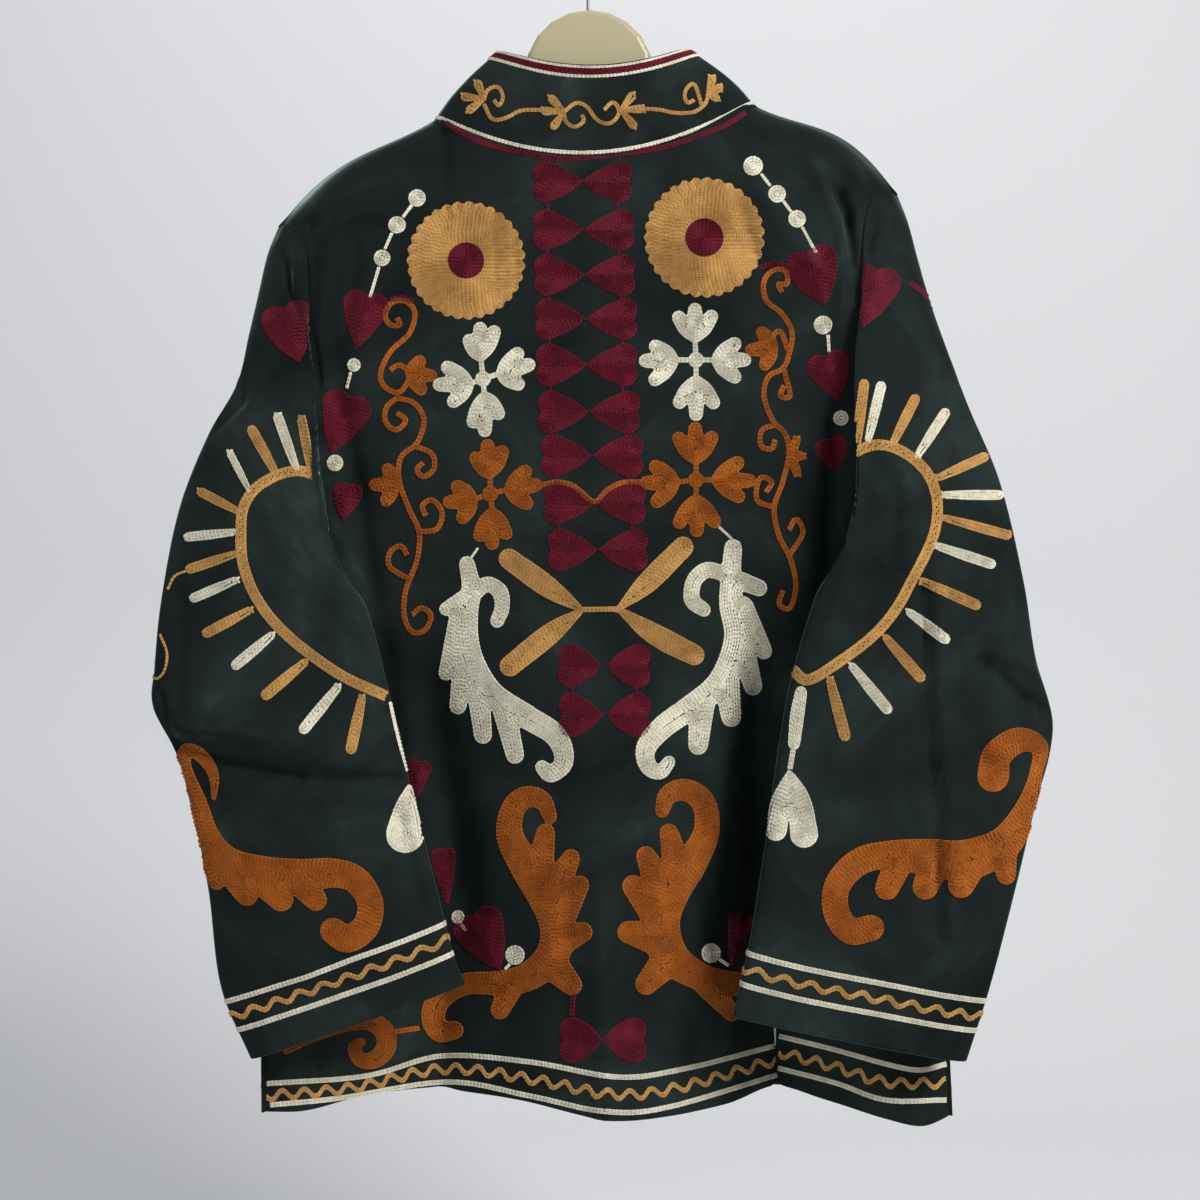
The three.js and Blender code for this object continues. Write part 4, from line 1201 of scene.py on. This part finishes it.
    cream.fill(
        [(467, 564, 8), (471, 589, 9.5), (466, 615, 12), (466, 642, 13), (474, 668, 13),
         (493, 695, 12.5), (527, 717, 12), (556, 736, 11), (564, 761, 9.5), (551, 774, 8.5),
         (542, 767, 7)],
        [(476, 593, 7), (487, 584, 7.5), (500, 592, 8), (502, 608, 7.5), (497, 621, 7)],
        [(467, 596, 8), (446, 609, 7)], [(460, 618, 11), (446, 673, 7.5)],
        [(466, 649, 12), (458, 706, 8.5)], [(477, 679, 12), (483, 735, 9)],
        [(503, 704, 12), (515, 755, 9)],
    )
    cream.fill(
        [(733, 548, 9), (731, 574, 10), (731, 604, 12), (737, 634, 13), (730, 664, 13),
         (715, 688, 12.5), (688, 709, 12), (662, 728, 11.5), (646, 748, 10), (648, 766, 8.5),
         (660, 772, 7.5), (669, 762, 6.5)],
        [(724, 574, 7.5), (707, 570, 8), (694, 581, 8), (692, 600, 8), (704, 610, 7)],
        [(741, 581, 9), (759, 588, 8.5)], [(742, 608, 12), (764, 651, 8.5)],
        [(741, 645, 13), (753, 686, 9.5)], [(726, 678, 13), (731, 717, 10)],
        [(702, 703, 13), (698, 745, 10)],
    )
    rust.fill(
        [(550, 817, 7), (543, 801, 9), (527, 797, 11), (513, 809, 12), (510, 836, 13.5),
         (527, 868, 16), (544, 893, 18), (556, 918, 18), (557, 942, 17), (547, 962, 16),
         (525, 978, 14), (497, 983, 12), (466, 984, 11), (441, 997, 12), (433, 1016, 12),
         (440, 1031, 11), (455, 1030, 9)],
        [(540, 868, 14), (545.6, 833, 9.5)], [(554, 890, 16), (571, 858, 9)],
        [(562, 912, 16), (580, 885, 9.5)], [(562, 940, 15), (583, 932, 10)],
        [(552, 964, 16), (572, 985, 10.5)], [(512, 984, 13), (500, 1010, 9.5)],
    )
    rust.fill(
        [(662, 811, 7), (668, 795, 9.5), (686, 790, 11), (704, 804, 12), (706, 833, 13),
         (691, 863, 16), (672, 889, 19), (661, 916, 19.5), (663, 940, 19), (674, 960, 17),
         (697, 975, 14), (719, 982, 13), (750, 985, 12)],
        [(676, 864, 14), (669, 833, 9.5)], [(662, 890, 17), (646, 856, 10)],
        [(656, 912, 17), (633, 886, 11)], [(656, 938, 17), (628, 932, 11)],
        [(666, 962, 16), (646, 984, 11)], [(706, 985, 12), (732, 1013, 8.5)],
    )
    rust.line([(394, 1032), (419, 1028)], 2)
    rust.fill([
        (286, 1051, 3.5), (311, 1038, 5), (341, 1026, 7), (368, 1021, 9), (384, 1031, 10),
        (386, 1047, 10), (376, 1059, 9), (361, 1060, 7.5), (354, 1048, 6.5), (361, 1042, 5),
    ])

    # Border at the hem
    for upper in (
        [(261, 1084), (365, 1076), (442, 1056), (530, 1062), (618, 1077), (683, 1069), (774, 1046)],
        [(779, 1036), (836, 1050), (886, 1064), (919, 1070), (946, 1064)],
        [(270, 1105), (340, 1098), (447, 1082), (530, 1096), (602, 1111), (664, 1108), (777, 1075)],
        [(778, 1068), (836, 1083), (886, 1100), (946, 1100)],
    ):
        cream.line(upper, 2)
    cream.line([(775, 1028), (775, 1045)], 1)
    gold.wavy(
        [(266, 1096), (350, 1088), (444, 1069), (530, 1079), (610, 1094), (672, 1089), (775, 1060)],
        4.6, 22,
    )
    gold.wavy([(779, 1052), (836, 1067), (886, 1082), (945, 1083)], 4.6, 22)


def embroider_front(cloth):
    cream, gold = Thread(cloth, "thread_cream", CREAM), Thread(cloth, "thread_gold", GOLD)
    cream.border(8)
    gold.border(18, wave=3.3)
    cream.border(28)


def band(gold, path):
    """A ladder of two edges with a close zigzag between them."""
    gold.line(path, 2, pitch=8.2)
    gold.line(path, 2, pitch=5.6)
    gold.wavy(path, 1.6, 7.5, 1)


def rays(threads, table):
    """Blunt strokes, of the two threads in turn: start, end, end radius."""
    for k, (start, end, r) in enumerate(table):
        middle = mix(np.array(start), np.array(end), 0.5)
        threads[k % 2].fill([(*start, r * 0.72), (*middle, r), (*end, r)])


def embroider_sleeve_left():
    maroon, gold, rust, cream = threads_on(sleeve_left)
    maroon.heart((299, 361), (285, 309), 54)
    band(gold, [
        (338, 504), (326, 483), (309, 473), (295, 471), (276, 476), (255, 489), (243, 509),
        (241, 532), (242, 558), (250, 585), (265, 611), (288, 636), (318, 660), (348, 679),
        (386, 696),
    ])
    rays((gold, cream), [
        ((312, 474), (302, 420), 5), ((296, 468), (278, 417), 5), ((275, 472), (252, 430), 5.2),
        ((249, 490), (230, 453), 3.6), ((237, 511), (201, 492), 4.6), ((235, 532), (188, 537), 4.8),
        ((235, 554), (190, 569), 5), ((236, 580), (194, 598), 5), ((250, 610), (207, 633), 5.2),
        ((272, 635), (236, 665), 5.4), ((305, 662), (266, 695), 5.6), ((338, 687), (304, 729), 5.6),
        ((362, 698), (351, 749), 5.6),
    ])
    gold.line([(186, 571), (175, 576), (168, 589)], 1)
    cream.line([(390, 702), (399, 742), (409, 781)], 1, width=1.4)
    cream.fill([(409, 785, 1.4), (407, 808, 12), (405, 834, 19)])
    cream.fill([(411, 785, 1.4), (428, 806, 10), (440, 824, 15)])
    gold.line([(160, 634), (167, 653), (164, 672), (155, 679), (150, 668), (155, 660)], 1)
    rust.fill(
        [(214, 799, 2.4), (214, 776, 5), (202, 756, 7), (187, 750, 7), (184, 768, 8), (198, 803, 9),
         (208, 837, 12), (228, 862, 15), (262, 873, 17), (299, 876, 17), (333, 873, 14.5),
         (356, 880, 13.5), (370, 902, 13), (366, 926, 13.5), (348, 939, 13.5), (333, 931, 13)],
        [(206, 842, 12), (217, 882, 8)], [(228, 866, 15), (247, 895, 11)],
        [(262, 878, 16), (281, 899, 12.5)], [(299, 880, 15), (316, 900, 11)],
    )
    embroider_cuff(cream, gold)


def embroider_sleeve_right():
    maroon, gold, rust, cream = threads_on(sleeve_right)
    maroon.heart((864, 325), (876, 271), 54)
    maroon.line([(910, 283), (922, 292), (936, 307)], 2)
    band(gold, [
        (843, 470), (853, 454), (875, 445), (897, 449), (917, 462), (930, 478), (937, 500),
        (936, 525), (928, 549), (911, 582), (896, 609), (873, 636), (839, 662), (808, 680),
        (793, 670),
    ])
    rays((gold, cream), [
        ((856, 450), (864, 384), 5.2), ((868, 440), (881, 386), 5.2), ((893, 443), (915, 399), 5.2),
        ((918, 455), (945, 413), 5.2), ((938, 478), (984, 457), 5), ((944, 495), (999, 495), 5),
        ((945, 518), (1007, 535), 5), ((937, 546), (991, 564), 5.2), ((922, 581), (976, 605), 5.4),
        ((909, 612), (945, 639), 5.4), ((886, 638), (920, 677), 5.6), ((852, 666), (887, 709), 5.6),
        ((830, 680), (845, 736), 5.6),
    ])
    cream.fill([(801, 692, 6), (797, 716, 7), (794, 744, 6)])
    cream.line([(793, 750), (790, 769)], 2)
    cream.fill(
        [(790, 771, 1.4), (799, 800, 11), (804, 834, 14)],
        [(789, 771, 1.4), (781, 800, 9), (776, 830, 11)],
    )
    rust.fill(
        [(993, 776, 16), (997, 755, 14.5), (1019, 740, 12.5), (1039, 747, 9), (1036, 772, 6.5),
         (1026, 808, 11), (1003, 844, 17), (965, 860, 20), (927, 857, 18), (888, 855, 14),
         (859, 862, 13.5), (838, 884, 13), (836, 911, 13), (850, 931, 13), (871, 928, 13)],
        [(1003, 850, 14), (1006, 875, 9.5)], [(969, 862, 18), (961, 885, 13)],
        [(936, 862, 16), (925, 887, 12.5)], [(899, 862, 14), (887, 888, 12)],
    )
    embroider_cuff(cream, gold)


def embroider_cuff(cream, gold):
    cream.border(22.5)
    gold.border(33, wave=2.6, period=18)
    cream.border(44)


def embroider_collar():
    cream, maroon, gold = (
        Thread(collar, "thread_" + name, material)
        for name, material in (("cream", CREAM), ("maroon", MAROON), ("gold", GOLD))
    )
    maroon.border(5.4, count=3)
    for distance in (1.9, 9.0):
        cream.border(distance, count=1, width=1.3)
    cream.border(2.2, count=1, width=1.5, lower=False)
    for stem in (
        [(484, 99), (488, 90), (498, 87), (503, 97), (499, 106), (494, 100)],
        [(484, 104), (492, 119), (506, 118), (520, 111), (537, 110), (564, 112)],
        [(564, 112), (576, 103), (587, 107), (596, 119), (607, 124), (616, 119), (619, 110),
         (613, 102), (604, 110)],
        [(564, 114), (566, 122), (575, 127), (584, 121), (582, 115)],
        [(621, 110), (645, 109), (661, 110), (676, 113), (694, 112), (705, 104), (708, 95)],
        [(702, 106), (694, 84), (685, 92), (687, 103), (694, 100)],
    ):
        gold.line(stem, 2, pitch=1.8, width=0.8)
    for base, tip in (
        ((484, 99), (478, 84)), ((484, 99), (465, 97)), ((484, 99), (470, 110)),
        ((564, 112), (545, 111)), ((564, 112), (552, 99)), ((564, 112), (554, 126)),
        ((621, 110), (632, 96)), ((621, 110), (641, 109)), ((621, 110), (633, 125)),
        ((708, 95), (712, 79)), ((708, 95), (719, 88)), ((708, 95), (716, 98)),
    ):
        gold.fill([(*base, 2.2), (*tip, 4.6)])


for embroider in (embroider_back, embroider_sleeve_left, embroider_sleeve_right, embroider_collar):
    embroider()
for cloth in (front_left, front_right):
    embroider_front(cloth)


# ---- pieces in the frame ----

# Each piece's shell, hung on the root in place of its CAD part, then the stitches of every thread
pieces = {}
for cloth in (back, front_left, front_right, sleeve_left, sleeve_right, collar):
    thing = cloth.build(VELVET)
    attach(thing, "root")
    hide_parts(cloth.name)
    pieces[cloth.name] = thing
stitched = {name: [] for name in pieces}
for thread in Thread.made:
    stitched[thread.cloth.name].append(thread.build())

for node, material in (("hanger_board", BOARD), ("hanger_hook", WIRE)):
    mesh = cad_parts[node].data
    mesh.materials.clear()
    mesh.materials.append(material)


# ---- stage, light and camera ----


def sweep(near, far, low, high, radius, half_width):
    """A pale floor that curves up into a wall behind."""
    turn = np.linspace(0, np.pi / 2, 24)
    y = np.concatenate([[near], far - radius + radius * np.sin(turn), [far]])
    z = np.concatenate([[low], low + radius - radius * np.cos(turn), [high]])
    points = [(side * half_width / MM, b / MM, c / MM) for b, c in zip(y, z) for side in (-1, 1)]
    faces = [(2 * k, 2 * k + 1, 2 * k + 3, 2 * k + 2) for k in range(len(y) - 1)]
    material = shader("backdrop", (0.70, 0.705, 0.72), 0.9)[0]
    new_object("backdrop", points, faces, material)


def area_light(name, place, aim, size, power, color=(1, 1, 1)):
    lamp = bpy.data.lights.new(name, "AREA")
    lamp.shape, lamp.size, lamp.energy, lamp.color = "SQUARE", size, power, color
    thing = bpy.data.objects.new(name, lamp)
    thing.location = place
    thing.rotation_euler = (Vector(aim) - Vector(place)).to_track_quat("-Z", "Y").to_euler()
    bpy.context.scene.collection.objects.link(thing)


sweep(-5, 1.8, -1.25, 5, 0.8, 7)
area_light("key", (1.7, -2.1, 1.3), (0, 0, -0.45), 0.9, 100, (1.0, 0.985, 0.965))
area_light("fill", (-2.2, -1.9, 0.1), (0, 0, -0.5), 1.6, 16, (0.95, 0.98, 1.0))
area_light("wall", (-0.2, 0.5, 2.2), (0, 1.8, -0.3), 1.6, 20)

world = bpy.data.worlds.new("studio")
bpy.context.scene.world = world
bpy.context.scene.view_settings.view_transform = "Standard"
world.use_nodes = True
set_inputs(world.node_tree.nodes["Background"], Color=(0.92, 0.96, 1.0, 1), Strength=0.32)

camera = bpy.data.cameras.new("camera")
camera.sensor_width = SENSOR
camera.lens = SENSOR / 2 / (SIDE / 2 * UNIT / REACH)
camera.clip_end = 50
viewer = bpy.data.objects.new("camera", camera)
viewer.location = EYE * MM
viewer.rotation_euler = (math.pi / 2, 0, 0)
bpy.context.scene.collection.objects.link(viewer)
bpy.context.scene.camera = viewer
